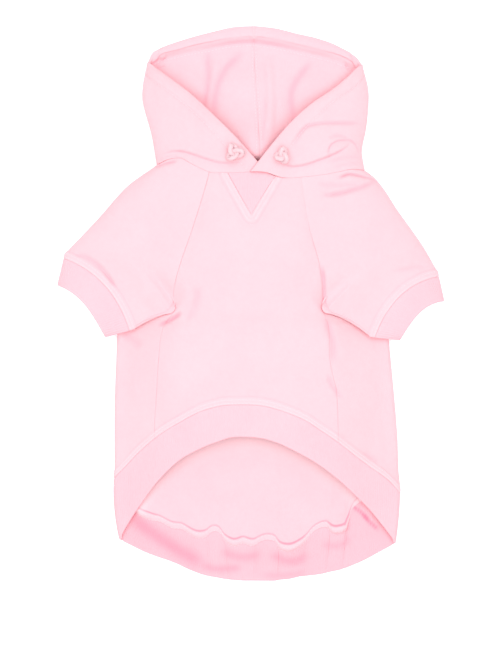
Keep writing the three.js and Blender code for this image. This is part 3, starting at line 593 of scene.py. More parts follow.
class Cloth:
    """A wall of cloth made from a grid of points on its outer face, with its edges rolled in at the
    seams and rounded where they are free."""

    def __init__(
        self, grid, wall, facing, ring=False, relief=0, lining_relief=0, free=(), roll=SEAM_ROLL, closed=0
    ):
        self.ring, self.facing, self.shape = ring, facing, grid.shape[:2]
        self.normal = normals(grid, facing, ring)
        self.first, self.last = lengths(grid, 1)
        self.left, self.right = lengths(grid, 0)
        edges = [("first", self.first), ("last", self.last)]
        if not ring:
            edges += [("left", self.left), ("right", self.right)]
        dip, lift = np.zeros(self.shape), np.zeros(self.shape)
        for edge, distance in edges:
            bend = wall / 2 * (1 - round_edge(2 * distance / wall))
            if edge in free:
                dip, lift = np.maximum(dip, bend), np.maximum(lift, bend)
                continue
            dip = np.maximum(dip, roll * (1 - round_edge(distance / ROLL_WIDTH)))
            if edge in ("left", "right"):
                dip, lift = np.maximum(dip, bend * closed), np.maximum(lift, bend * closed)
        self.outer = grid + self.normal * (relief - dip)[..., None]
        self.inner = grid - self.normal * (wall - lift + lining_relief)[..., None]
        for layer in (self.outer, self.inner):
            layer[..., 2] = np.maximum(layer[..., 2], LOWEST)

    def mesh(self, name, face, lining, shade_light_stitch_tone=0, lining_shade_light_stitch_tone=0):
        """Makes the wall's two faces and its rim one mesh, with the cloth's flat size as its UV map and, as
        an attribute, the tone of each face: painted shade and light, and paler stitch lines.
        """
        columns, rows = self.shape
        count = columns * rows
        index = np.arange(count).reshape(columns, rows)
        i = index if self.ring else index[:-1]
        j = np.roll(index, -1, axis=0) if self.ring else index[1:]
        quads = np.stack([i[:, :-1], j[:, :-1], j[:, 1:], i[:, 1:]], axis=-1).reshape(-1, 4)
        under = quads[:, ::-1] + count
        rims = [
            np.stack([i[:, 0], i[:, 0] + count, j[:, 0] + count, j[:, 0]], axis=-1),
            np.stack([i[:, -1], j[:, -1], j[:, -1] + count, i[:, -1] + count], axis=-1),
        ]
        if not self.ring:
            a, b = index[0], index[-1]
            rims.append(np.stack([a[:-1], a[1:], a[1:] + count, a[:-1] + count], axis=-1))
            rims.append(np.stack([b[:-1], b[:-1] + count, b[1:] + count, b[1:]], axis=-1))
        rim = np.concatenate(rims)
        faces = np.concatenate([quads, under, rim])
        if self.facing < 0:
            faces = faces[:, ::-1]
        slots = np.repeat([0, 1, 0], [len(quads), len(under), len(rim)]).astype(np.int32)
        place = np.concatenate([self.outer.reshape(-1, 3), self.inner.reshape(-1, 3)])
        flat = np.stack(np.broadcast_arrays(self.left, self.first), axis=-1).reshape(-1, 2)
        shade_light_stitch_tones = [np.broadcast_to(value, self.shape).reshape(-1) for value in (shade_light_stitch_tone, lining_shade_light_stitch_tone)]
        flat, shade_light_stitch_tones = np.concatenate([flat, flat]), np.concatenate(shade_light_stitch_tones)
        return mesh_piece(name + "_cloth", place, faces.tolist(), [face, lining], flat, slots, shade_light_stitch_tones)


def in_metres(places):
    """Points in millimetres from the neck seam, put where they are on the table, as a list in metres."""
    return ((places + np.array([LAY_X, LAY_Y, 0])) * MM).tolist()


def mesh_piece(name, places, faces, materials, flat, slots=None, shade_light_stitch_tone=None):
    mesh = bpy.data.meshes.new(name)
    mesh.from_pydata(in_metres(places), [], faces)
    for material in materials:
        mesh.materials.append(material)
    if slots is not None:
        mesh.polygons.foreach_set("material_index", slots)
    mesh.polygons.foreach_set("use_smooth", np.ones(len(mesh.polygons), dtype=bool))
    layer = mesh.uv_layers.new(name="cloth")
    corner = np.empty(len(mesh.loops), dtype=np.int32)
    mesh.loops.foreach_get("vertex_index", corner)
    layer.data.foreach_set("uv", (flat[corner] * MM).astype(np.float32).ravel())
    # The tone attribute: painted shade and light, and paler stitch lines.
    if shade_light_stitch_tone is not None:
        mesh.attributes.new("shade_light_stitch_tone", "FLOAT", "POINT").data.foreach_set("value", shade_light_stitch_tone.astype(np.float32))
    mesh.update()
    piece = bpy.data.objects.new(name, mesh)
    scene.collection.objects.link(piece)
    return piece


def lay(piece, rests_on=("back_panel",)):
    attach(piece, "root")
    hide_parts(piece.name.removesuffix("_cloth"))


# The last two pinks are painted by the tone attribute: the pale one for paler stitch lines and painted light,
# the deep one for painted shade.
PINK = (0.955, 0.56, 0.613)
LINING_PINK = (0.955, 0.545, 0.603)
PALE_STITCH_AND_LIGHT_PINK = (0.965, 0.66, 0.71)
SHADE_PINK = (0.95, 0.27, 0.38)
WALE = 0.0011
COURSE = 0.0009


def knit(name, colour, loops, fuzz, sheen):
    """Knitted cloth: V-shaped loops in columns, uneven colour in the yarn, a soft nap, and the painted shade
    and light of its tone attribute.
    """
    material, shader = new_material(name)
    place = Sock.node("ShaderNodeTexCoord", output=3)
    flat = Sock.node("ShaderNodeUVMap", {"uv_map": "cloth"})
    across = Sock.node("ShaderNodeSeparateXYZ", Vector=flat)
    along = Sock(across.link.node.outputs[1])
    slant = (along * (math.tau / COURSE)).sine() * 0.7
    loop = (across * (math.pi / WALE) + slant).sine().absolute()
    cloud = Sock.node("ShaderNodeTexNoise", Vector=place, Scale=26, Detail=3, Roughness=0.6)
    grain = Sock.node("ShaderNodeTexNoise", Vector=place, Scale=260, Detail=3, Roughness=0.65)
    nap = Sock.node("ShaderNodeTexNoise", Vector=place, Scale=850, Detail=4, Roughness=0.7)
    yarn = (0.45 * cloud + 0.35 * grain + 0.2 * nap).clamp()
    deep = tuple(c * d for c, d in zip(colour, (0.99, 0.95, 0.96)))
    pale = tuple(min(c * d, 0.97) for c, d in zip(colour, (1.01, 1.035, 1.03)))
    base = blend_colours(yarn.spread(0.32, 0.68), deep, pale)
    # The tone attribute paints the cloth paler along stitches and where light is painted, and deeper pink
    # where shade is painted.
    shade_light_stitch_tone = Sock.node("ShaderNodeAttribute", {"attribute_name": "shade_light_stitch_tone"}, output=2)
    base = blend_colours(shade_light_stitch_tone.clamp(), base, PALE_STITCH_AND_LIGHT_PINK)
    base = blend_colours((-0.75 * shade_light_stitch_tone).clamp(), base, SHADE_PINK)
    feed(shader, "Base Color", base)
    feed(shader, "Roughness", 0.93)
    feed(shader, "Sheen Weight", sheen)
    feed(shader, "Sheen Roughness", 0.5)
    feed(shader, "Sheen Tint", (1, 0.88, 0.92, 1))
    feed(shader, "Specular IOR Level", 0.12)
    height = loops * loop + fuzz * nap + 0.4 * grain
    feed(shader, "Normal", Sock.node("ShaderNodeBump", Strength=0.55, Distance=0.0004, Height=height))
    return material


fleece_face = knit("fleece_face", PINK, 0.5, 0.5, 0.1)
fleece_lining = knit("fleece_lining", LINING_PINK, 0.25, 1.4, 0.16)

stitch_lines = []


def row_at(at, reach, *layers):
    """What some layers of a row of cloth hold at a distance from one of the row's ends."""
    order = slice(None, None, -1) if reach[-1] < reach[0] else slice(None)
    return [np.interp(at, reach[order], layer[order, k]) for layer in layers for k in range(3)]


def line_in(cloth, distance, at, lining=False):
    """The line on a cloth's face at a distance from one of its edges, and the way that it faces."""
    surface = cloth.inner if lining else cloth.outer
    way = -cloth.normal if lining else cloth.normal
    rows = [row_at(at, distance[i], surface[i], way[i]) for i in range(len(surface))]
    line, way = np.hsplit(np.array(rows), 2)
    return line - STITCH_SUNK * way, way


# The front panel, on the belly: one cut of the same fleece, with its smooth side out.
# It is cut to the arc of the hem below and notched for the gusset at the neck. Two rows of
# coverstitch hold its seam allowance flat beside the hem and the gusset.
FRONT_FLAT, FRONT_LENGTH = 150, 200


def front_x(down, share):
    return mix(front_edge("left", down), front_edge("right", down), share)


front_shares = steps(FRONT_FLAT, 1.15)
front_rows = steps(FRONT_LENGTH, 1.25, first=8)
bottom, top = np.full(len(front_shares), 0.6), np.zeros(len(front_shares))
for _ in range(10):
    x = front_x(bottom, front_shares)
    bottom = mix(bottom, read(HEM_FRONT, "seam", across_of(x, bottom)), 0.8)
    top = front_top(front_x(top, front_shares))
down = row_down(bottom[:, None], top[:, None], front_rows[None, :])
front_grid = front_point(front_x(down, front_shares[:, None]), down)
# Painted shade of the folds; below, paler stitch lines and painted shade beside the strips.
front_shade_and_stitch_tone = drape(front_grid)
from_hem = lengths(front_grid, 1)[0]
notch = np.array([(gusset_left, 0), (gusset_tip, -GUSSET_DEPTH), (gusset_right, 0)], dtype=float)
beside_notch = beside(notch, front_grid[..., 0].ravel(), front_grid[..., 1].ravel())[0]
beside_notch = np.abs(beside_notch).reshape(from_hem.shape)
relief = stitched_strip(from_hem) + stitched_strip(beside_notch)
front_shade_and_stitch_tone += strip_stitch_and_shade_tone(from_hem) + strip_stitch_and_shade_tone(beside_notch)
front = Cloth(front_grid, FLEECE_WALL, 1, relief=relief)
front_panel = front.mesh("front_panel", fleece_face, fleece_lining, shade_light_stitch_tone=front_shade_and_stitch_tone)
lay(front_panel, rests_on=["back_panel"])

# The back panel, the wider one: it lies under the body and turns round both sides to the seams.
# At its lower edge the longer fleece is gathered on to the rib, so it stands in soft waves there.
TURN_LENGTH = 32
BACK_RISE = 7
BACK_CENTRE = 2
BACK_COLUMNS, BACK_LENGTH, BACK_PITCH = 118, 330, 2.1
BACK_LIFT = 3.4
WAVE_LIFT = 0.42
INNER_STRIP = 5.5
INNER_ROWS = (1.2, 4.6)
SWAY_REACH = (-0.09, -0.06, -0.03, 0, 0.03, 0.06, 0.09)
SIDES = {"left": -1, "right": 1}
turn_length = fold_radius * math.pi / 2
HEM_BACK = table_of(
    "across seam edge",
    (0, 0.75, 0.903),
    (0.08, 0.834, 0.932),
    (0.13, 0.853, 0.946),
    (0.16, 0.859, 0.953),
    (0.2, 0.874, 0.964),
    (0.235, 0.878, 0.976),
    (0.28, 0.896, 0.988),
    (0.31, 0.896, 0.993),
    (0.34, 0.884, 0.996),
    (0.362, 0.886, 0.999),
    (0.383, 0.905, 1.001),
    (0.413, 0.917, 1.003),
    (0.446, 0.911, 1.004),
    (0.48, 0.917, 1.004),
    (0.51, 0.908, 1.004),
    (0.535, 0.904, 1.004),
    (0.562, 0.909, 1.004),
    (0.582, 0.925, 1.002),
    (0.615, 0.929, 1),
    (0.645, 0.92, 0.996),
    (0.67, 0.906, 0.993),
    (0.695, 0.887, 0.991),
    (0.722, 0.875, 0.989),
    (0.748, 0.873, 0.986),
    (0.768, 0.884, 0.983),
    (0.79, 0.884, 0.98),
    (0.812, 0.874, 0.977),
    (0.82, 0.845, 0.975),
    (0.85, 0.815, 0.967),
    (0.9, 0.8, 0.951),
    (1, 0.788, 0.912),
)


def back_rise(x, y):
    """How far the back and the inside of the hood stand off the table between the folds."""
    across = smooth(1.02, 0.5, np.abs(x - BACK_CENTRE) / half_chest)
    return BACK_RISE * across * smooth(-0.86, -0.74, y / BODY_LENGTH) * smooth(112, 70, y)


def body_point(side, down, reach):
    """A point of the back panel, by its reach round the side fold: positive on the front of the body."""
    angle = np.minimum(np.abs(reach) / turn_length, 1) * math.pi / 2
    flat = np.maximum(np.abs(reach) - turn_length, 0)
    inside = fold_radius * (1 - np.cos(angle)) + flat
    x = outline(side, down) - SIDES[side] * inside
    top = fold_radius * (1 + np.sin(angle)) + rise(x, down)
    z = np.where(reach < 0, fold_radius * (1 - np.sin(angle)), top)
    return points(x, -down * BODY_LENGTH, z)


def side_reach(side, down):
    """Millimetres of cloth from the middle of the side fold to the seam on the front."""
    return np.abs(outline(side, down) - front_edge(side, down)) - fold_radius + turn_length


def back_edge_reach(side, down):
    """The edge of the back panel: the side seam below the underarm, the sleeve's seam above it."""
    turned_in = smooth(0, TURN_LENGTH, (UNDERARM - down) * BODY_LENGTH)
    above = mix(side_reach(side, UNDERARM), -turn_length - fold_radius / 2, turned_in)
    return np.where(down >= UNDERARM, side_reach(side, down), above)


def back_neck_down(x):
    return mix(NECK["down"][0], NECK["down"][-1], neck_across(x))


def back_spread(count):
    """Columns of half the back panel, crowded where the cloth turns round the side fold."""
    share = np.linspace(0, 1, 400)
    density = 1 + 4 * bell(share, 0.235, 0.05)
    total = np.cumsum(density)
    total = (total - total[0]) / (total[-1] - total[0])
    return np.concatenate([NEAR_EDGE / 170, np.interp(np.linspace(0, 1, count)[2:], total, share)])


back_shares = np.unique(np.round(back_spread(BACK_COLUMNS), 5))


def back_reach(side, down, share):
    edge = back_edge_reach(side, down) - 2 * SEAM_HALF
    middle = -(np.abs(outline(side, down)) - fold_radius + turn_length)
    return mix(edge, middle, share)


def hem_down(side, reach, down):
    across = across_of(body_point(side, down, reach)[..., 0], down)
    return np.where(reach > 0, read(HEM_FRONT, "seam", across), read(HEM_BACK, "seam", across))


def back_half(side):
    bottom = np.full(len(back_shares), 0.8)
    for _ in range(24):
        bottom = mix(bottom, hem_down(side, back_reach(side, bottom, back_shares), bottom), 0.5)
    neck = np.zeros(len(back_shares))
    top = back_neck_down(body_point(side, neck, back_reach(side, neck, back_shares))[..., 0])
    down = row_down(bottom[:, None], top[:, None], steps(BACK_LENGTH, BACK_PITCH, first=8)[None, :])
    reach = back_reach(side, down, back_shares[:, None])
    grid = body_point(side, down, reach)
    upper = np.where(reach > 0, np.sin(np.minimum(reach / turn_length, 1) * math.pi / 2), 0)
    return grid, upper


def sway(across):
    """Millimetres by which the back hem seam lies below a smooth line between its two ends."""
    smooth_line = sum(read(HEM_BACK, "seam", across + shift) for shift in SWAY_REACH) / len(SWAY_REACH)
    return (read(HEM_BACK, "seam", across) - smooth_line) * BODY_LENGTH


def above_zero(value):
    """The value where it is above zero, with a soft start in place of a kink."""
    return (value + np.sqrt(value * value + 0.25)) / 2


left_half, right_half = back_half("left"), back_half("right")
back_grid = np.concatenate([left_half[0], right_half[0][-2::-1]])
back_upper = np.concatenate([left_half[1], right_half[1][-2::-1]])
# Painted shade of the folds where the back panel is the upper layer.
back_shade_and_stitch_tone = drape(back_grid, back_upper)
from_hem = lengths(back_grid, 1)[0]
on_table = back_upper == 0
lower = smooth(3.5, 0.5, back_grid[..., 2]) * on_table
back_grid[..., 2] += back_rise(back_grid[..., 0], back_grid[..., 1]) * on_table
back_across = across_of(back_grid[..., 0], -back_grid[..., 1] / BODY_LENGTH)
inland = smooth(0.02, 0.12, back_across) * smooth(0.98, 0.9, back_across)
wave = above_zero(0.6 + WAVE_LIFT * sway(back_across)) * (from_hem / 5 * np.exp(1 - from_hem / 5))
swell = BACK_LIFT * bell(from_hem, 0, 30) + wave
soft = 0.35 * ripple(back_grid[..., 0], back_grid[..., 1], 38, 31) * smooth(0, 30, from_hem)
back_grid[..., 2] += (np.maximum(swell, 0) + np.maximum(soft, 0)) * lower * inland
inner_rows = sum(bell(from_hem, row, 0.5) for row in INNER_ROWS)
inner_strip = 0.7 * smooth(0.3, 1, from_hem) * smooth(INNER_STRIP + 0.8, INNER_STRIP, from_hem)
lining_relief = (inner_strip - 0.4 * inner_rows) * (lower * inland)
# Painted shade: a deeper pink line just above the inner strip, darker where the gathered seam dips and the
# fleece overhangs it; the strip itself gets paler stitch lines.
shade_over_seam = bell(from_hem, INNER_STRIP + 0.7, 0.7) * (0.35 + 0.1 * np.maximum(sway(back_across), 0))
inner_strip_stitch_and_shade = 0.5 * strip_stitch_and_shade_tone(from_hem * STRIP_WIDTH / INNER_STRIP)
lining_shade_light_stitch_tone = (inner_strip_stitch_and_shade - np.minimum(1.6 * shade_over_seam, 0.9)) * lower
# Painted light: the lining is lightened just inside the belly hem's edge, where the band above would shade
# it.
from_belly_hem = -back_grid[..., 1] - read(HEM_FRONT, "edge", back_across) * BODY_LENGTH
lining_shade_light_stitch_tone += 0.9 * bell(from_belly_hem, 2, 9) * lower
relief = stitched_strip(from_hem) * (1 - lower)
back = Cloth(back_grid, FLEECE_WALL, -1, relief=relief, lining_relief=lining_relief)
# Paler stitch lines and painted shade beside the hem strip.
back_shade_and_stitch_tone = back_shade_and_stitch_tone + strip_stitch_and_shade_tone(from_hem)
back_panel = back.mesh("back_panel", fleece_face, fleece_lining, shade_light_stitch_tone=back_shade_and_stitch_tone, lining_shade_light_stitch_tone=lining_shade_light_stitch_tone)
lay(back_panel, rests_on=["table"])

for row in STITCH_ROWS:
    stitch_lines.append(line_in(front, front.first, row))
    stitch_lines.append(line_in(back, back.first, row))
shown = (back_across[:, 0] > 0.03) & (back_across[:, 0] < 0.97) & on_table[:, 0]
for row in INNER_ROWS:
    line, way = line_in(back, back.first, row, lining=True)
    stitch_lines.append((line[shown], way[shown]))

# The hem band: a ring of rib, folded double and stretched as it is sewn on.
# It is high on the belly and long on the back, and its ribs run square to the seam.
RIB_WALL = 2.4
RIB_PITCH = 2.3
RIB_DEPTH = 0.14
BAND_COLUMNS, BAND_DEPTH, BAND_PITCH = 600, 30, 1.5
RIB_PINK = (0.955, 0.535, 0.598)
END = {"left": 0.0, "right": 1.0}

# Painted shade in the hollows of the band where its inside shows below the gathered back seam, written as the
# folds are; only their shade is used, not their height.
HEM_SHADE_LAY = (
    ("crease", 3.4, 8, (126, 508), (136, 519), (142, 524), (154, 533), (168, 543), (182, 552),
     (196, 560), (214, 568)),
    ("crease", 2.4, 4, (200, 566), (216, 569), (232, 569), (246, 567)),
    ("crease", 2.3, 5, (218, 549), (230, 554), (242, 557), (254, 556), (266, 551)),
    ("crease", 2.5, 5, (268, 552), (280, 558), (290, 561), (300, 560), (312, 552)),
    ("crease", 1.6, 4, (320, 543), (334, 546), (346, 543), (352, 532)),
    ("crease", 1.4, 3.5, (258, 575), (285, 576), (315, 572)),
    ("crease", 6, 1.7, (352, 505), (358, 509), (362.4, 512.5), (366, 516), (371, 521)),
    ("crease", 6, 1.7, (362, 513), (367, 518), (370.5, 521.9), (375, 526), (381, 531)),
)

rib_face = knit("rib_face", RIB_PINK, 0.5, 0.4, 0.08)


def hem_edge(across, on_front):
    down = np.where(on_front, read(HEM_FRONT, "edge", across), read(HEM_BACK, "edge", across))
    x = mix(outline("left", down), outline("right", down), across)
    under = fold_radius * (1 - round_edge(from_sides(x, down) / fold_radius))
    return points(x, -down * BODY_LENGTH, np.where(on_front, top_height(x, down), under))


def by_length(path, shares):
    """Points at shares of a path's length."""
    length = length_along(path)
    return np.stack([np.interp(shares * length[-1], length, path[:, k]) for k in range(3)], axis=-1)


def in_two(path, fold, count):
    """A path from the front to the back, with as many points before its side fold as after it."""
    front = by_length(path[: fold + 1], np.linspace(0, 1, count))
    return np.concatenate([front[:-1], by_length(path[fold:], np.linspace(0, 1, count))])


def band_half(side, seam_path, count):
    """The seam and the free edge of half the band, from the belly round the side fold to the back."""
    fold = int((SIDES[side] * seam_path[:, 0]).argmax())
    turn = np.cos(np.linspace(0, math.pi, 241))
    edge_path = hem_edge(mix(END[side], 0.48, np.abs(turn)), turn > 0)
    return in_two(seam_path, fold, count // 2), in_two(edge_path, 120, count // 2)


def rib_relief(grid, line):
    """Ribs across a ring of cloth, a whole number of them round the line that it is sewn on by."""
    length = length_along(line)
    phase = math.tau * np.round(length[-1] / RIB_PITCH) * length / length[-1]
    first, last = lengths(grid, 1)
    return RIB_DEPTH * np.sin(phase)[:, None] * smooth(0, 2.5, first) * smooth(0, 2.5, last)


front_middle = len(front_grid) // 2
back_middle = len(back_shares) - 1
seam_left = np.concatenate([front_grid[front_middle::-1, 0], back_grid[: back_middle + 1, 0]])
seam_right = np.concatenate([front_grid[front_middle:, 0], back_grid[: back_middle - 1 : -1, 0]])
left_seam, left_edge = band_half("left", seam_left, BAND_COLUMNS)
right_seam, right_edge = band_half("right", seam_right, BAND_COLUMNS)
seam_loop = np.concatenate([left_seam[::-1], right_seam[1:-1]])
edge_loop = np.concatenate([left_edge[::-1], right_edge[1:-1]])
band_rows = steps(BAND_DEPTH, BAND_PITCH)
band_grid = mix(seam_loop[:, None], edge_loop[:, None], band_rows[None, :, None])
on_back = smooth(3, 9, edge_loop[:, 2])[:, None]
sag = seam_loop[:, None, 2] * ((1 - band_rows) ** 2.2 - (1 - band_rows))[None, :] * (1 - on_back)
band_grid[..., 2] += sag
band_across = across_of(band_grid[..., 0], -band_grid[..., 1] / BODY_LENGTH)
inland = smooth(0.03, 0.12, band_across) * smooth(0.97, 0.88, band_across)
swing = 2 * np.tanh(above_zero(0.4 - WAVE_LIFT * sway(band_across)) / 2)
wave = swing * (band_rows * 3.2 * np.exp(1 - band_rows * 3.2))[None, :]
band_grid[..., 2] += (wave + 1.2 * smooth(0.55, 1, band_rows)[None, :]) * (1 - on_back) * inland
bulge = (4 * band_rows * (1 - band_rows))[None, :]
seam_x = seam_loop[:, :1]
band_grid[..., 0] -= 2.2 * bulge * bell(seam_x, seam_x.min(), 9)
band_grid[..., 0] += 0.8 * bulge * bell(seam_x, seam_x.max(), 9)
ribs = rib_relief(band_grid, seam_loop)
band = Cloth(band_grid, RIB_WALL, -1, ring=True, relief=ribs, lining_relief=-ribs, free=("last",))
# Painted shade inside the back of the band: deeper pink all over it, and deeper still in its hollows.
band_painted_shade = (folded(band_grid[..., 0], band_grid[..., 1], HEM_SHADE_LAY)[1] - 0.2) * (1 - on_back)
hem_band = band.mesh("hem_band", rib_face, rib_face, lining_shade_light_stitch_tone=band_painted_shade)
lay(hem_band, rests_on=["table", "back_panel"])

# The neck gusset: a small V of the same rib, let into the front of the neck so that it can stretch.
# It is sewn into the notch of the front panel, whose seam allowance is held down round it.
gusset_across = steps(GUSSET_WIDTH, 0.8)
gusset_rows = mix(0.002, 1, steps(GUSSET_DEPTH, 0.8))
left = mix(gusset_tip, gusset_left, gusset_rows) + 2 * SEAM_HALF
right = mix(gusset_tip, gusset_right, gusset_rows) - 2 * SEAM_HALF
x = mix(left[None, :], right[None, :], gusset_across[:, None])
gusset_down = read(NECK, "down", neck_across(x)) + (1 - gusset_rows)[None, :] * GUSSET_DEPTH / BODY_LENGTH
gusset_grid = front_point(x, gusset_down)
# Painted shade of the folds on the gusset.
gusset_painted_shade = drape(gusset_grid)
gusset_ribs = RIB_DEPTH * np.sin(math.tau * x / RIB_PITCH)
gusset = Cloth(gusset_grid, FLEECE_WALL, 1, relief=gusset_ribs)
neck_gusset = gusset.mesh("neck_gusset", rib_face, fleece_lining, shade_light_stitch_tone=gusset_painted_shade)
lay(neck_gusset, rests_on=["front_panel"])

for row in STITCH_ROWS:
    out = row * math.hypot(1, GUSSET_WIDTH / 2 / GUSSET_DEPTH)
    ends = [(gusset_left - out, 2), (gusset_tip, -GUSSET_DEPTH - 2 * row), (gusset_right + out, 2)]
    path = np.concatenate([np.linspace(ends[k], ends[k + 1], 40, endpoint=False) for k in range(2)])
    path = path[(-path[:, 1] / BODY_LENGTH > read(NECK, "down", neck_across(path[:, 0])) + 0.002)]
    line = points(path[:, 0], path[:, 1], top_height(path[:, 0], -path[:, 1] / BODY_LENGTH))
    drape(line)
    line[:, 2] += stitched_strip(np.full(len(line), row)) - STITCH_SUNK
    stitch_lines.append((line, np.tile([0.0, 0.0, 1.0], (len(line), 1))))

# The sleeves: short raglan sleeves, each one piece with its seam under the arm.
# The end is folded over the seam of the cuff and held by two rows of coverstitch.
SLEEVE_LENGTH, SLEEVE_FLAT, SLEEVE_LOFT = 115, 92, 26
CUFF_LENGTH, CUFF_FLAT, CUFF_LOFT = 24.5, 62, 21
CUFF_STRIP = 3.6
SLEEVE_OPEN = 0.7
TUBE_GAP = 0.0004
UNDERARM_BOW = {"left": 2.2, "right": 3.8}
SLEEVE = {
    "left": {"turn": 44, "length": 1, "width": 1, "width_turn": 47.8, "bow": 0.127},
    "right": {"turn": 54.4, "length": 0.981, "width": 0.915, "width_turn": 43.9, "bow": 0.146},
}
CUFF = {
    "left": {"turn": 76.6, "length": 1.2, "width": 1.02, "width_turn": 47.3, "bow": 0.135},
    "right": {"turn": 77.4, "length": 1.09, "width": 0.853, "width_turn": 41.6, "bow": 0.16},
}
SHOULDER = {
    "left": table_of("along bow", (0, 0), (0.28, 0.04), (0.62, 0.016), (1, 0)),
    "right": table_of("along bow", (0, 0), (0.09, 0.028), (0.22, 0.036), (0.4, 0.026), (0.75, 0.024), (1, 0)),
}


def turned(side, degrees, length):
    angle = math.radians(degrees)
    length = np.asarray(length, dtype=float)
    return np.stack([SIDES[side] * math.cos(angle) * length, -math.sin(angle) * length, 0 * length], axis=-1)


def body_under(x, y):
    """The height of the body where a sleeve or a cuff lies on it, and 0 beside it."""
    down = -y / BODY_LENGTH
    near = smooth(-1.5 * SIDE_FOLD, -1, from_sides(x, down)) * smooth(UNDERARM - 0.06, UNDERARM, down)
    return near * (top_height(x, np.maximum(down, UNDERARM)) + FLEECE_WALL)


def neck_point(across):
    x = half_neck * mix(-NECK_LEFT, NECK_RIGHT, across)
    down = read(NECK, "down", across)
    inside = np.minimum(across, 1 - across) * NECK_FLAT
    z = mix(SIDE_FOLD, top_height(x, down), round_edge(inside / (0.25 * NECK_FLAT)))
    return points(x, -down * BODY_LENGTH, z)


def across_end(side, shape, flat):
    """The way from the upper fold to the lower one, across the end of a sleeve or a cuff."""
    across = turned(side, shape["width_turn"], flat * shape["width"])
    across[0] *= -1
    return across


def back_edge(side, down):
    return body_point(side, down, back_edge_reach(side, down))


def back_corner_down(side):
    """How far down the edge of the back panel meets the neck seam."""
    return back_neck_down(back_edge(side, 0.0)[0])


def back_neck_line(side, begin, share):
    """The neck seam on the back, from a point of it out to the corner of the neck."""
    line = mix(begin, neck_point(END[side]), share[..., None])
    line[..., 2] = SIDE_FOLD * (1 - round_edge((1 - share) / 0.3))
    return line


def from_neck(shape, neck, reach, side, around, along):
    """A surface that starts on the neck seam and takes its own shape over a share of its length."""
    around, along = np.broadcast_arrays(np.asarray(around, dtype=float), np.asarray(along, dtype=float))
    lift = neck(side, around) - shape(side, around, 0 * along)[0]
    point, upper = shape(side, around, along)
    point = point + lift * (1 - smooth(0, reach, along))[..., None]
    point[..., 2] = np.maximum(point[..., 2], 0.05)
    return point, upper


def shoulder_point(side, along):
    """A point of the sleeve's upper fold."""
    length, turn = SLEEVE_LENGTH * SLEEVE[side]["length"], SLEEVE[side]["turn"]
    bow = length * read(SHOULDER[side], "bow", along)
    point = neck_point(END[side]) + turned(side, turn, length * along) + turned(side, turn - 90, bow)
    point[..., 2] = mix(SIDE_FOLD, CUFF_LOFT / 2, smooth(0, 0.5, along))
    return point


def sleeve_end(side):
    """The lower corner of the sleeve's end."""
    point = shoulder_point(side, 1.0) + across_end(side, SLEEVE[side], SLEEVE_FLAT)
    point[2] = max(CUFF_LOFT / 2, body_under(point[0], point[1]) + fold_radius)
    return point


def sleeve_edge(side, along, on_front):
    """The sleeve's lower edge: its seams to the two panels, then its own seam past the underarm."""
    share = np.clip(along / SLEEVE_OPEN, 0, 1)
    start = read(NECK, "down", neck_across(front_edge(side, 0.0)))
    front_down = mix(start, UNDERARM, share)
    front = front_point(front_edge(side, front_down), front_down)
    back = back_edge(side, mix(back_corner_down(side), UNDERARM, share))
    past = np.clip((along - SLEEVE_OPEN) / (1 - SLEEVE_OPEN), 0, 1)[..., None]
    tail = mix(back_edge(side, UNDERARM), sleeve_end(side), past)
    tail[..., 1] += UNDERARM_BOW[side] * 4 * past[..., 0] * (1 - past[..., 0])
    tail[..., 2] += np.where(on_front, 0.1, -0.1)
    return np.where((along > SLEEVE_OPEN)[..., None], tail, np.where(on_front[..., None], front, back))


def to_fold(around):
    """Whether a place round a sleeve is on its front, and its share of the way to the upper fold."""
    on_front = around <= 0.5
    return on_front, np.where(on_front, 2 * around, 2 * (1 - around))


def sleeve_shape(side, around, along):
    """A point of the sleeve, and how far it is the upper layer there."""
    on_front, share = to_fold(around)
    edge = sleeve_edge(side, along, on_front)
    fold = shoulder_point(side, along)
    point = mix(edge, fold, share[..., None])
    width = np.linalg.norm(edge - fold, axis=-1)
    bow = SLEEVE[side]["bow"] * width * 4 * share * (1 - share) * smooth(0.5, 1, along)
    point -= turned(side, SLEEVE[side]["turn"], bow)
    loft = mix(SLEEVE_LOFT, CUFF_LOFT, smooth(0.7, 1, along))
    closed = smooth(SLEEVE_OPEN - 0.15, SLEEVE_OPEN + 0.1, along)
    crown = mix(edge[..., 2], loft, smooth(0, 0.5, share) * smooth(-0.2, 0.3, along))
    dome = round_edge((1 - share) / 0.5) * mix(1, round_edge(share / 0.3), closed)
    over = mix(point[..., 2], np.maximum(crown, point[..., 2]), dome)
    hold = edge[..., 2] * (1 - smooth(fold_radius, 6 * fold_radius, share * width)) * (1 - closed)
    floor = np.maximum(body_under(point[..., 0], point[..., 1]), hold)
    base = round_edge((1 - share) / 0.3) * round_edge(share / 0.2)
    under = mix(point[..., 2], np.minimum(floor, point[..., 2]), base)
    point[..., 2] = np.where(on_front, over, under)
    return point, np.where(on_front, dome, 0)


def neck_end(side, around):
    """The sleeve's part of the neck seam, on the front and on the back."""
    start = neck_across(front_edge(side, 0.0))
    front = neck_point(mix(start, END[side], np.clip(2 * around, 0, 1)))
    begin = back_edge(side, back_corner_down(side))
    back = back_neck_line(side, begin, np.clip(2 * (1 - around), 0, 1))
    return np.where((around <= 0.5)[..., None], front, back)


def sleeve_surface(side, around, along):
    return from_neck(sleeve_shape, neck_end, 0.4, side, around, along)


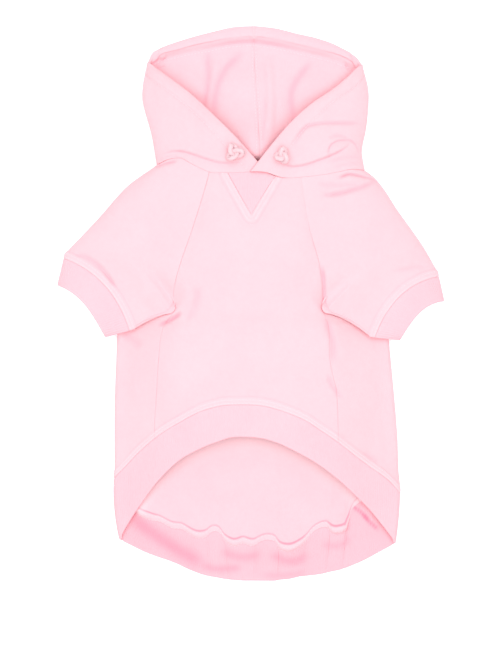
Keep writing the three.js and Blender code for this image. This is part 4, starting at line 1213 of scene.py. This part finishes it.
def cuff_opening(side, around):
    """The free edge of the cuff, at the same shares around it as the end of the sleeve."""
    on_front, share = to_fold(around)
    length = CUFF_LENGTH * CUFF[side]["length"]
    fold_end = shoulder_point(side, 1.0) + turned(side, CUFF[side]["turn"], length)
    across = across_end(side, CUFF[side], CUFF_FLAT)
    opening = mix(fold_end + across, fold_end, share[:, None])
    bow = CUFF[side]["bow"] * np.linalg.norm(across) * 4 * share * (1 - share)
    opening -= turned(side, CUFF[side]["turn"], bow)
    dome = round_edge((1 - share) / 0.35) * round_edge(share / 0.35)
    low = body_under(opening[:, 0], opening[:, 1])
    middle = np.maximum(CUFF_LOFT / 2, low + fold_radius)
    opening[:, 2] = np.where(on_front, mix(middle, CUFF_LOFT, dome), mix(middle, low, dome))
    return opening


def tube_columns(count):
    """Places round a sleeve, crowded at its two folds and beside its seam."""
    half = (1 - np.cos(np.linspace(0, math.pi, count))) / 2
    edge = NEAR_EDGE[1:] / SLEEVE_FLAT / 2
    inner = np.concatenate([half / 2, 0.5 + half[1:] / 2])
    inner = np.concatenate([[0], edge, inner[1:-1], 1 - edge[::-1], [1]])
    return mix(TUBE_GAP, 1 - TUBE_GAP, np.unique(np.round(inner, 6)))


for side in SIDES:
    around = tube_columns(76)
    rows = steps(SLEEVE_LENGTH, 1.25, first=1.6, last=4)[:-7]
    body, upper = sleeve_surface(side, around[:, None], rows[None, :])
    end = sleeve_surface(side, around, np.ones(len(around)))[0]
    opening = cuff_opening(side, around)
    strip = (CUFF_STRIP / CUFF_LENGTH) * (1 - (1 - np.linspace(0, 1, 9)) ** 1.4)
    strip = mix(end[:, None], opening[:, None], strip[None, :, None])
    grid = np.concatenate([body, strip], axis=1)
    upper = np.concatenate([upper, np.repeat(upper[:, -1:], strip.shape[1], axis=1)], axis=1)
    # Painted shade of the folds, then paler stitch lines and painted shade beside the strip at the end.
    shade_light_stitch_tone = drape(grid, upper)
    to_end = lengths(grid, 1)[1]
    shade_light_stitch_tone = shade_light_stitch_tone + strip_stitch_and_shade_tone(to_end)
    open_part = smooth(SLEEVE_OPEN + 0.03, SLEEVE_OPEN - 0.03, 1 - to_end / (SLEEVE_LENGTH + CUFF_STRIP))
    roll = SEAM_ROLL * np.maximum(open_part, smooth(3, 1.5, to_end))
    relief = stitched_strip(to_end)
    sleeve = Cloth(grid, FLEECE_WALL, -SIDES[side], relief=relief, roll=roll, closed=1 - open_part)
    piece = sleeve.mesh("sleeve_" + side, fleece_face, fleece_lining, shade_light_stitch_tone=shade_light_stitch_tone)
    lay(piece, rests_on=["table", "back_panel"])
    stitch_lines += [line_in(sleeve, sleeve.last, row) for row in STITCH_ROWS]

# The cuffs: rings of the same rib as the hem, folded double and narrower than the sleeves they gather.
# Each is sewn to the end of its sleeve, under the sleeve's stitched strip.
for side in SIDES:
    on_front, share = to_fold(np.linspace(TUBE_GAP, 1 - TUBE_GAP, 400))
    share = (1 - np.cos(math.pi * share)) / 2
    around = np.where(on_front, share / 2, 1 - share / 2)
    end, upper = sleeve_surface(side, around, np.ones(len(around)))
    opening = cuff_opening(side, around)
    rows = mix(CUFF_STRIP / CUFF_LENGTH, 1, steps(CUFF_LENGTH - CUFF_STRIP, 1.1))
    grid = mix(end[:, None], opening[:, None], rows[None, :, None])
    # Painted shade of the folds on the cuff's upper side.
    shade_light_stitch_tone = drape(grid, upper[:, None] * smooth(1, 0.4, rows)[None, :])
    ribs = rib_relief(grid, end)
    cuff = Cloth(grid, RIB_WALL, -SIDES[side], ring=True, relief=ribs, lining_relief=-ribs, free=("last",))
    piece = cuff.mesh("cuff_" + side, rib_face, rib_face, shade_light_stitch_tone=shade_light_stitch_tone)
    lay(piece, rests_on=["table", "sleeve_" + side])

# The hood: two halves of thick fleece with a seam down the middle, its edge rolled into a tunnel
# for the drawcord. The back of it lies on the table and the sides fold over to the throat.
HOOD_FLAT, HOOD_HEIGHT, HOOD_WALL, HOOD_FOLD = 202, 134, 2.4, 16
FLAP_LOFT, FLAP_OVERLAP = 29, 3.4
RIM_HEIGHT, RIM_WIDTH = 5.4, 15
TUNNEL_WIDTH, TUNNEL_PUFF = 17, 1.1
CENTRE_DRIFT = 4.6
half_hood = HOOD_FLAT / 2
HOOD = {
    "left": table_of(
        "along side rise edge edge_rise height",
        (0, -0.84, 0.05, 0.125, 0.008, 0.96),
        (0.2, -0.895, 0.228, -0.116, 0.208, 0.94),
        (0.4, -0.964, 0.4, -0.33, 0.369, 0.86),
        (0.6, -0.995, 0.51, -0.545, 0.523, 0.76),
        (0.8, -0.98, 0.638, -0.777, 0.658, 0.64),
        (1, -0.946, 0.752, -0.89, 0.72, 0.5),
    ),
    "right": table_of(
        "along side rise edge edge_rise height",
        (0, 0.995, 0.03, -0.036, 0.013, 0.96),
        (0.2, 0.965, 0.161, 0.165, 0.201, 0.95),
        (0.4, 1, 0.309, 0.348, 0.356, 0.88),
        (0.6, 1.02, 0.463, 0.518, 0.47, 0.78),
        (0.8, 1.016, 0.577, 0.732, 0.584, 0.64),
        (1, 0.964, 0.738, 0.9, 0.7, 0.5),
    ),
}
CROWN = table_of(
    "share left right",
    (0, 0, 0),
    (0.2, 5.4, 4.8),
    (0.4, 7.7, 7),
    (0.55, 9, 9),
    (0.7, 9.7, 9.8),
    (0.83, 9.8, 8.4),
    (0.91, 9.2, 6.9),
    (0.965, 7.6, 4.6),
    (1, 0, 0),
)
FLAP_LIFT = {"left": 0, "right": 1}
THROAT_LIFT, THROAT_WIDTH, THROAT_LENGTH = 13, 22, 24
throat_x, throat_y = spot(258, 150)
CENTRE_ROW, RIM_ROW = 2.2, 3.4

# Folds of the back of the hood, as they show inside it, each written as those of the body are; they also
# paint shade on the lining.
HOOD_LAY = (
    ("crease", 2, 3.6, (208.5, 46), (209, 62), (209.5, 76), (208, 92), (203, 114)),
    ("ridge", 1.4, 4, (216, 50), (216.5, 66), (215, 80), (211, 100), (208, 118)),
    ("crease", 2.2, 4, (246, 46), (239, 56), (227.5, 68), (219.5, 84), (216, 100), (214, 122)),
    ("ridge", 1.8, 3, (265, 46), (269, 62.8), (271.5, 94.7), (270, 140)),
    ("crease", 0.9, 1.6, (265.5, 92), (265.8, 115), (263, 150)),
    ("crease", 2.2, 3.8, (317, 58), (308, 67), (296, 84), (292, 98), (296, 128)),
    ("ridge", 1.2, 6, (180, 66), (200, 84), (215, 104)),
    ("crease", 1.8, 3, (258, 160), (268, 152), (276, 145), (284, 136), (292, 128)),
    ("crease", 1.3, 1.6, (146, 64), (153, 63), (158, 59), (162, 54)),
    ("crease", 1.3, 1.6, (146, 68), (154, 66), (162, 61), (169, 55)),
    ("crease", 1.2, 1.6, (147, 71), (157, 69), (168, 64)),
    ("crease", 1.3, 1.6, (367, 68), (360, 67), (354, 63), (350, 58)),
    ("crease", 1.3, 1.6, (367, 73), (358, 72), (350, 68), (344, 62)),
)


def hood_row(side, along):
    value = {name: read(HOOD[side], name, along) for name in ("side", "rise", "edge", "edge_rise", "height")}
    fold = points(half_hood * value["side"], HOOD_HEIGHT * value["rise"], HOOD_FOLD / 2)
    height = FLAP_LOFT * value["height"] + FLAP_LIFT[side] * FLAP_OVERLAP * (1 - smooth(0, 0.4, along))
    edge = points(half_hood * value["edge"], HOOD_HEIGHT * value["edge_rise"], height)
    drift = CENTRE_DRIFT * smooth(0.9, 0.1, along)
    centre = points(drift, mix(-back_neck_down(0.0) * BODY_LENGTH, HOOD_HEIGHT, along), 0)
    return fold, edge, centre


def hood_point(side, around, along):
    fold, edge, centre = hood_row(side, along)
    share = np.clip(2 * around, 0, 1)
    below = mix(centre, fold, share[..., None])
    below[..., 1] += read(CROWN, side, share) * along * along
    below[..., 2] = mix(fold[..., 2], 0, round_edge((1 - share) / 0.12))
    share = np.clip(2 * (around - 0.5), 0, 1)
    above = mix(fold, edge, share[..., None])
    width = np.linalg.norm(fold - edge, axis=-1)
    above[..., 2] = mix(fold[..., 2], edge[..., 2], round_edge(share * width / (0.5 * width + 6)))
    upper = np.where(around > 0.5, round_edge(share * width / 26), 0)
    return np.where((around <= 0.5)[..., None], below, above), upper


def hood_neck(side, around):
    """The hood's half of the neck seam. The right flap lies over the left one."""
    free = neck_across(half_hood * HOOD[side]["edge"][0])
    share = np.clip(2 * (around - 0.5), 0, 1)
    front = neck_point(mix(END[side], free, share))
    front[..., 2] += FLAP_LIFT[side] * FLAP_OVERLAP * smooth(0.66, 0.82, share)
    start = points(CENTRE_DRIFT, -back_neck_down(CENTRE_DRIFT) * BODY_LENGTH, 0)
    back = back_neck_line(side, start, np.clip(2 * around, 0, 1))
    return np.where((around > 0.5)[..., None], front, back)


hoods = {}
for side in SIDES:
    edge = NEAR_EDGE[1:] / 200
    under = 0.5 * np.sin(np.linspace(0, math.pi / 2, 84))
    over = 0.5 + 0.5 * (1 - np.cos(np.linspace(0, math.pi / 2, 96)))
    around = np.concatenate([[TUBE_GAP], edge, under[2:], over[1:-2], 1 - edge[::-1], [1]])
    around = np.unique(np.round(around, 6))[:, None]
    along = steps(HOOD_HEIGHT, 1.15)[None, :]
    around, along = np.broadcast_arrays(around, along)
    grid, upper = from_neck(hood_point, hood_neck, 0.35, side, around, along)
    # Painted shade of the folds on the flaps.
    shade_light_stitch_tone = drape(grid, upper)
    x, y = grid[..., 0], grid[..., 1]
    grid[..., 2] += back_rise(x, y) * smooth(0.5, 0.47, around)
    below = smooth(0.5, 0.48, around) * smooth(0, 0.2, along) * smooth(0, 4, lengths(grid, 0)[0])
    folds, fold_painted_shade = folded(x, y, HOOD_LAY)
    in_rim = np.clip((along * HOOD_HEIGHT - HOOD_HEIGHT + RIM_WIDTH) / RIM_WIDTH, 0, 1)
    grid[..., 2] += np.maximum(folds + 0.8 + 0.5 * ripple(x, y, 34, 17), 0) * below * smooth(0.3, 0, in_rim)
    throat = bell(x, throat_x, THROAT_WIDTH) * bell(y, throat_y, THROAT_LENGTH)
    grid[..., 2] += THROAT_LIFT * throat * smooth(0.5, 0.46, around) * smooth(0, 0.09, along)
    from_centre, from_edge = lengths(grid, 0)
    puff = TUNNEL_PUFF * np.sin(math.pi * np.clip(from_edge / TUNNEL_WIDTH, 0, 1)) ** 0.7
    relief = (puff - 0.5 * bell(from_edge, TUNNEL_WIDTH, 0.6)) * smooth(0.5, 0.56, around)
    inner = smooth(0.5, 0.42, around)
    roll = round_edge(in_rim / 0.42) * round_edge((1.05 - in_rim) / 0.6)
    to_rim = (1 - along) * HOOD_HEIGHT - RIM_WIDTH
    crease = bell(to_rim, 0, 1.6) * inner
    rows = 0.35 * bell(to_rim, RIM_ROW, 0.6) + 0.3 * bell(from_centre, CENTRE_ROW, 0.6) * (in_rim == 0)
    lining_relief = (RIM_HEIGHT * roll - rows) * inner - 0.5 * crease
    # Painted shade on the lining: deeper pink in its folds and, near the middle, along the crease under the
    # rim.
    lining_shade_light_stitch_tone = fold_painted_shade * below - 0.35 * crease * smooth(52, 8, np.abs(x - BACK_CENTRE))
    hood = Cloth(
        grid, HOOD_WALL, -SIDES[side], relief=relief, lining_relief=lining_relief, free=("right", "last")
    )
    piece = hood.mesh("hood_" + side, fleece_face, fleece_lining, shade_light_stitch_tone=shade_light_stitch_tone, lining_shade_light_stitch_tone=lining_shade_light_stitch_tone)
    lay(piece, rests_on=["table", "back_panel"])
    hoods[side] = hood
    flap = slice(np.argmax(around[:, 0] > 0.52), None)
    rows = [
        row_at(TUNNEL_WIDTH, hood.right[flap, k], hood.outer[flap, k], hood.normal[flap, k])
        for k in range(3, hood.shape[1] - 4)
        if hood.right[flap, k][0] > TUNNEL_WIDTH
    ]
    stitch_lines.append(np.hsplit(np.array(rows), 2))
    inside = around[:, 0] < 0.46
    line, way = line_in(hood, np.broadcast_to(to_rim, hood.shape), RIM_ROW, lining=True)
    stitch_lines.append((line[inside], way[inside]))
    rows = [
        row_at(CENTRE_ROW, hood.left[:, k], hood.inner[:, k], -hood.normal[:, k])
        for k in range(6, np.argmax(in_rim[0] > 0) - 2)
    ]
    stitch_lines.append(np.hsplit(np.array(rows), 2))

# The stitches: rows of coverstitch and lockstitch in pale thread, at both hems, round the gusset,
# at the ends of the sleeves, along the tunnel and rim of the hood, and down its centre seam.
# Each is a short plump capsule that lies along its row and faces as the cloth does.
THREAD = 0.6
STITCH = 2.5
STITCH_PITCH = 3.1

thread_paint, shader = new_material("thread")
place = Sock.node("ShaderNodeTexCoord", output=3)
twist = Sock.node("ShaderNodeTexNoise", Vector=place, Scale=1400, Detail=2)
feed(shader, "Base Color", blend_colours(twist, (0.955, 0.58, 0.63), (0.965, 0.65, 0.7)))
feed(shader, "Roughness", 0.6)
feed(shader, "Normal", Sock.node("ShaderNodeBump", Strength=0.3, Distance=0.0002, Height=twist))

stitch_tree = bpy.data.node_groups.new("stitch_row", "GeometryNodeTree")
for name, kind in (
    ("Geometry", "NodeSocketGeometry"),
    ("Pitch", "NodeSocketFloat"),
    ("Stitch Length", "NodeSocketFloat"),
    ("Thread Width", "NodeSocketFloat"),
    ("Thread", "NodeSocketMaterial"),
):
    stitch_tree.interface.new_socket(name, in_out="INPUT", socket_type=kind)
stitch_tree.interface.new_socket("Geometry", in_out="OUTPUT", socket_type="NodeSocketGeometry")
Sock.tree = stitch_tree
given = stitch_tree.nodes.new("NodeGroupInput").outputs
row = Sock.node("GeometryNodeMeshToCurve", Mesh=Sock(given["Geometry"]))
row = Sock.node("GeometryNodeResampleCurve", {"mode": "LENGTH"}, Curve=row, Length=Sock(given["Pitch"]))
bead = Sock.node("GeometryNodeMeshUVSphere", Segments=8, Rings=5, Radius=0.5)
width = Sock(given["Thread Width"])
size = Sock.node("ShaderNodeCombineXYZ", X=Sock(given["Stitch Length"]), Y=width, Z=0.7 * width)
bead = Sock.node("GeometryNodeTransform", Geometry=bead, Scale=size)
tangent = Sock.node("GeometryNodeInputTangent")
facing = Sock.node("GeometryNodeInputNamedAttribute", {"data_type": "FLOAT_VECTOR"}, Name="facing")
turn = Sock.node("FunctionNodeAlignRotationToVector", {"axis": "X"}, Vector=tangent)
pivot = {"axis": "Z", "pivot_axis": "X"}
turn = Sock.node("FunctionNodeAlignRotationToVector", pivot, Rotation=turn, Vector=facing)
beads = Sock.node("GeometryNodeInstanceOnPoints", Points=row, Instance=bead, Rotation=turn)
beads = Sock.node("GeometryNodeRealizeInstances", Geometry=beads)
beads = Sock.node("GeometryNodeSetShadeSmooth", Geometry=beads)
beads = Sock.node("GeometryNodeSetMaterial", Geometry=beads, Material=Sock(given["Thread"]))
stitch_tree.links.new(beads.link, stitch_tree.nodes.new("NodeGroupOutput").inputs[0])

places = np.concatenate([line for line, way in stitch_lines])
places[:, 2] = np.maximum(places[:, 2], THREAD)
ways = np.concatenate([way for line, way in stitch_lines])
edges, first = [], 0
for line, way in stitch_lines:
    edges += [(k, k + 1) for k in range(first, first + len(line) - 1)]
    first += len(line)
guide = bpy.data.meshes.new("stitch_guide")
guide.from_pydata(in_metres(places), edges, [])
ways = ways.astype(np.float32).ravel()
guide.attributes.new("facing", "FLOAT_VECTOR", "POINT").data.foreach_set("vector", ways)
maker = bpy.data.objects.new("stitch_maker", guide)
scene.collection.objects.link(maker)
sewing = maker.modifiers.new("stitches", "NODES")
sewing.node_group = stitch_tree
inputs = {item.name: item.identifier for item in stitch_tree.interface.items_tree if item.in_out == "INPUT"}
sewing[inputs["Pitch"]] = STITCH_PITCH * MM
sewing[inputs["Stitch Length"]] = STITCH * MM
sewing[inputs["Thread Width"]] = THREAD * MM
sewing[inputs["Thread"]] = thread_paint
made = bpy.data.meshes.new_from_object(maker.evaluated_get(bpy.context.evaluated_depsgraph_get()))
maker.modifiers.remove(sewing)
bpy.data.objects.remove(maker)
made.name = "stitches"
stitches = bpy.data.objects.new("stitches", made)
scene.collection.objects.link(stitches)
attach(stitches, "root")

# The drawcord: a round woven cord that runs inside the tunnel of the hood.
# Its two ends come out at the throat, each tied in an overhand knot that keeps it from slipping in.
CORD_DIAMETER = 4.5
KNOT_SIZE, KNOT_OPENING = 1.85, 0.42
KNOT = {
    "left": {"place": (236, 155), "turn": 200, "stretch": (1.3, 1.0)},
    "right": {"place": (283, 158), "turn": -80, "stretch": (1.15, 0.8)},
}
cord_face = knit("cord_weave", (0.965, 0.68, 0.73), 2.5, 0.5, 0.1)


def straight_end(last, before, reaches, rise):
    """Carries a cord straight on past its last point, bent up or down by a share of the reach squared."""
    way = (last - before) / np.linalg.norm(last - before)
    return np.array([last + way * reach + [0, 0, rise * reach**2] for reach in reaches])


def tube(path, radius, sides=12):
    """A round cord along a path, closed by domes at both ends."""
    along = np.gradient(path, axis=0)
    along /= np.linalg.norm(along, axis=1, keepdims=True)
    across = np.cross(along[0], [0, 0, 1.0])
    rings, angles = [], np.linspace(0, math.tau, sides, endpoint=False)
    for point, way in zip(path, along):
        across = across - way * np.dot(across, way)
        across /= np.linalg.norm(across)
        up = np.cross(way, across)
        rings.append((point, across, up))
    length = length_along(path)
    places, flat = [], []
    for (point, across, up), at, way in zip(rings, length, along):
        near = min(at, length[-1] - at)
        round_off = float(round_edge(np.array((near + 0.12) / radius)))
        for angle in angles:
            places.append(point + radius * round_off * (math.cos(angle) * across + math.sin(angle) * up))
            flat.append((angle * radius, at))
    faces = []
    for k in range(len(path) - 1):
        for i in range(sides):
            j = (i + 1) % sides
            faces.append((k * sides + i, k * sides + j, (k + 1) * sides + j, (k + 1) * sides + i))
    places += [path[0], path[-1]]
    flat += [(0, 0), (0, length[-1])]
    start, end, last = len(places) - 2, len(places) - 1, (len(path) - 1) * sides
    for i in range(sides):
        j = (i + 1) % sides
        faces.append((start, j, i, i))
        faces.append((end, last + i, last + j, last + j))
    faces = [face if len(set(face)) == 4 else face[:3] for face in faces]
    return np.array(places), faces, np.array(flat)


for side, knot in KNOT.items():
    turn = np.linspace(math.pi + KNOT_OPENING, 3 * math.pi - KNOT_OPENING, 90)
    x, y = np.sin(turn) + 2 * np.sin(2 * turn), np.cos(turn) - 2 * np.cos(2 * turn)
    path = np.stack([x, y, -1.05 * np.sin(3 * turn)], axis=-1)
    path *= KNOT_SIZE
    free_end = straight_end(path[0], path[1], np.linspace(5, 0.3, 10), 0.02)
    root = straight_end(path[-1], path[-2], np.linspace(0.3, 4.6, 10), -0.22)
    path = np.concatenate([free_end, path, root])
    angle = math.radians(knot["turn"])
    path[:, :2] *= knot["stretch"]
    turned_x, turned_y = (math.cos(angle), math.sin(angle)), (-math.sin(angle), math.cos(angle))
    path[:, :2] = path[:, :2] @ np.array([turned_x, turned_y])
    x, y = spot(*knot["place"])
    outer = hoods[side].outer
    near = np.hypot(outer[..., 0] - x, outer[..., 1] - y) < 7
    rest = outer[..., 2][near].max()
    path += np.array([x, y, rest + CORD_DIAMETER / 2 - path[10:-10, 2].min() - 0.6])
    places, faces, flat = tube(path, CORD_DIAMETER / 2)
    piece = mesh_piece("knot_" + side + "_cord", places, faces, [cord_face], flat)
    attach(piece, "root")
    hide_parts("knot_" + side)

size = {"cad": cad_box, "visual": [list(corner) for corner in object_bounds()]}
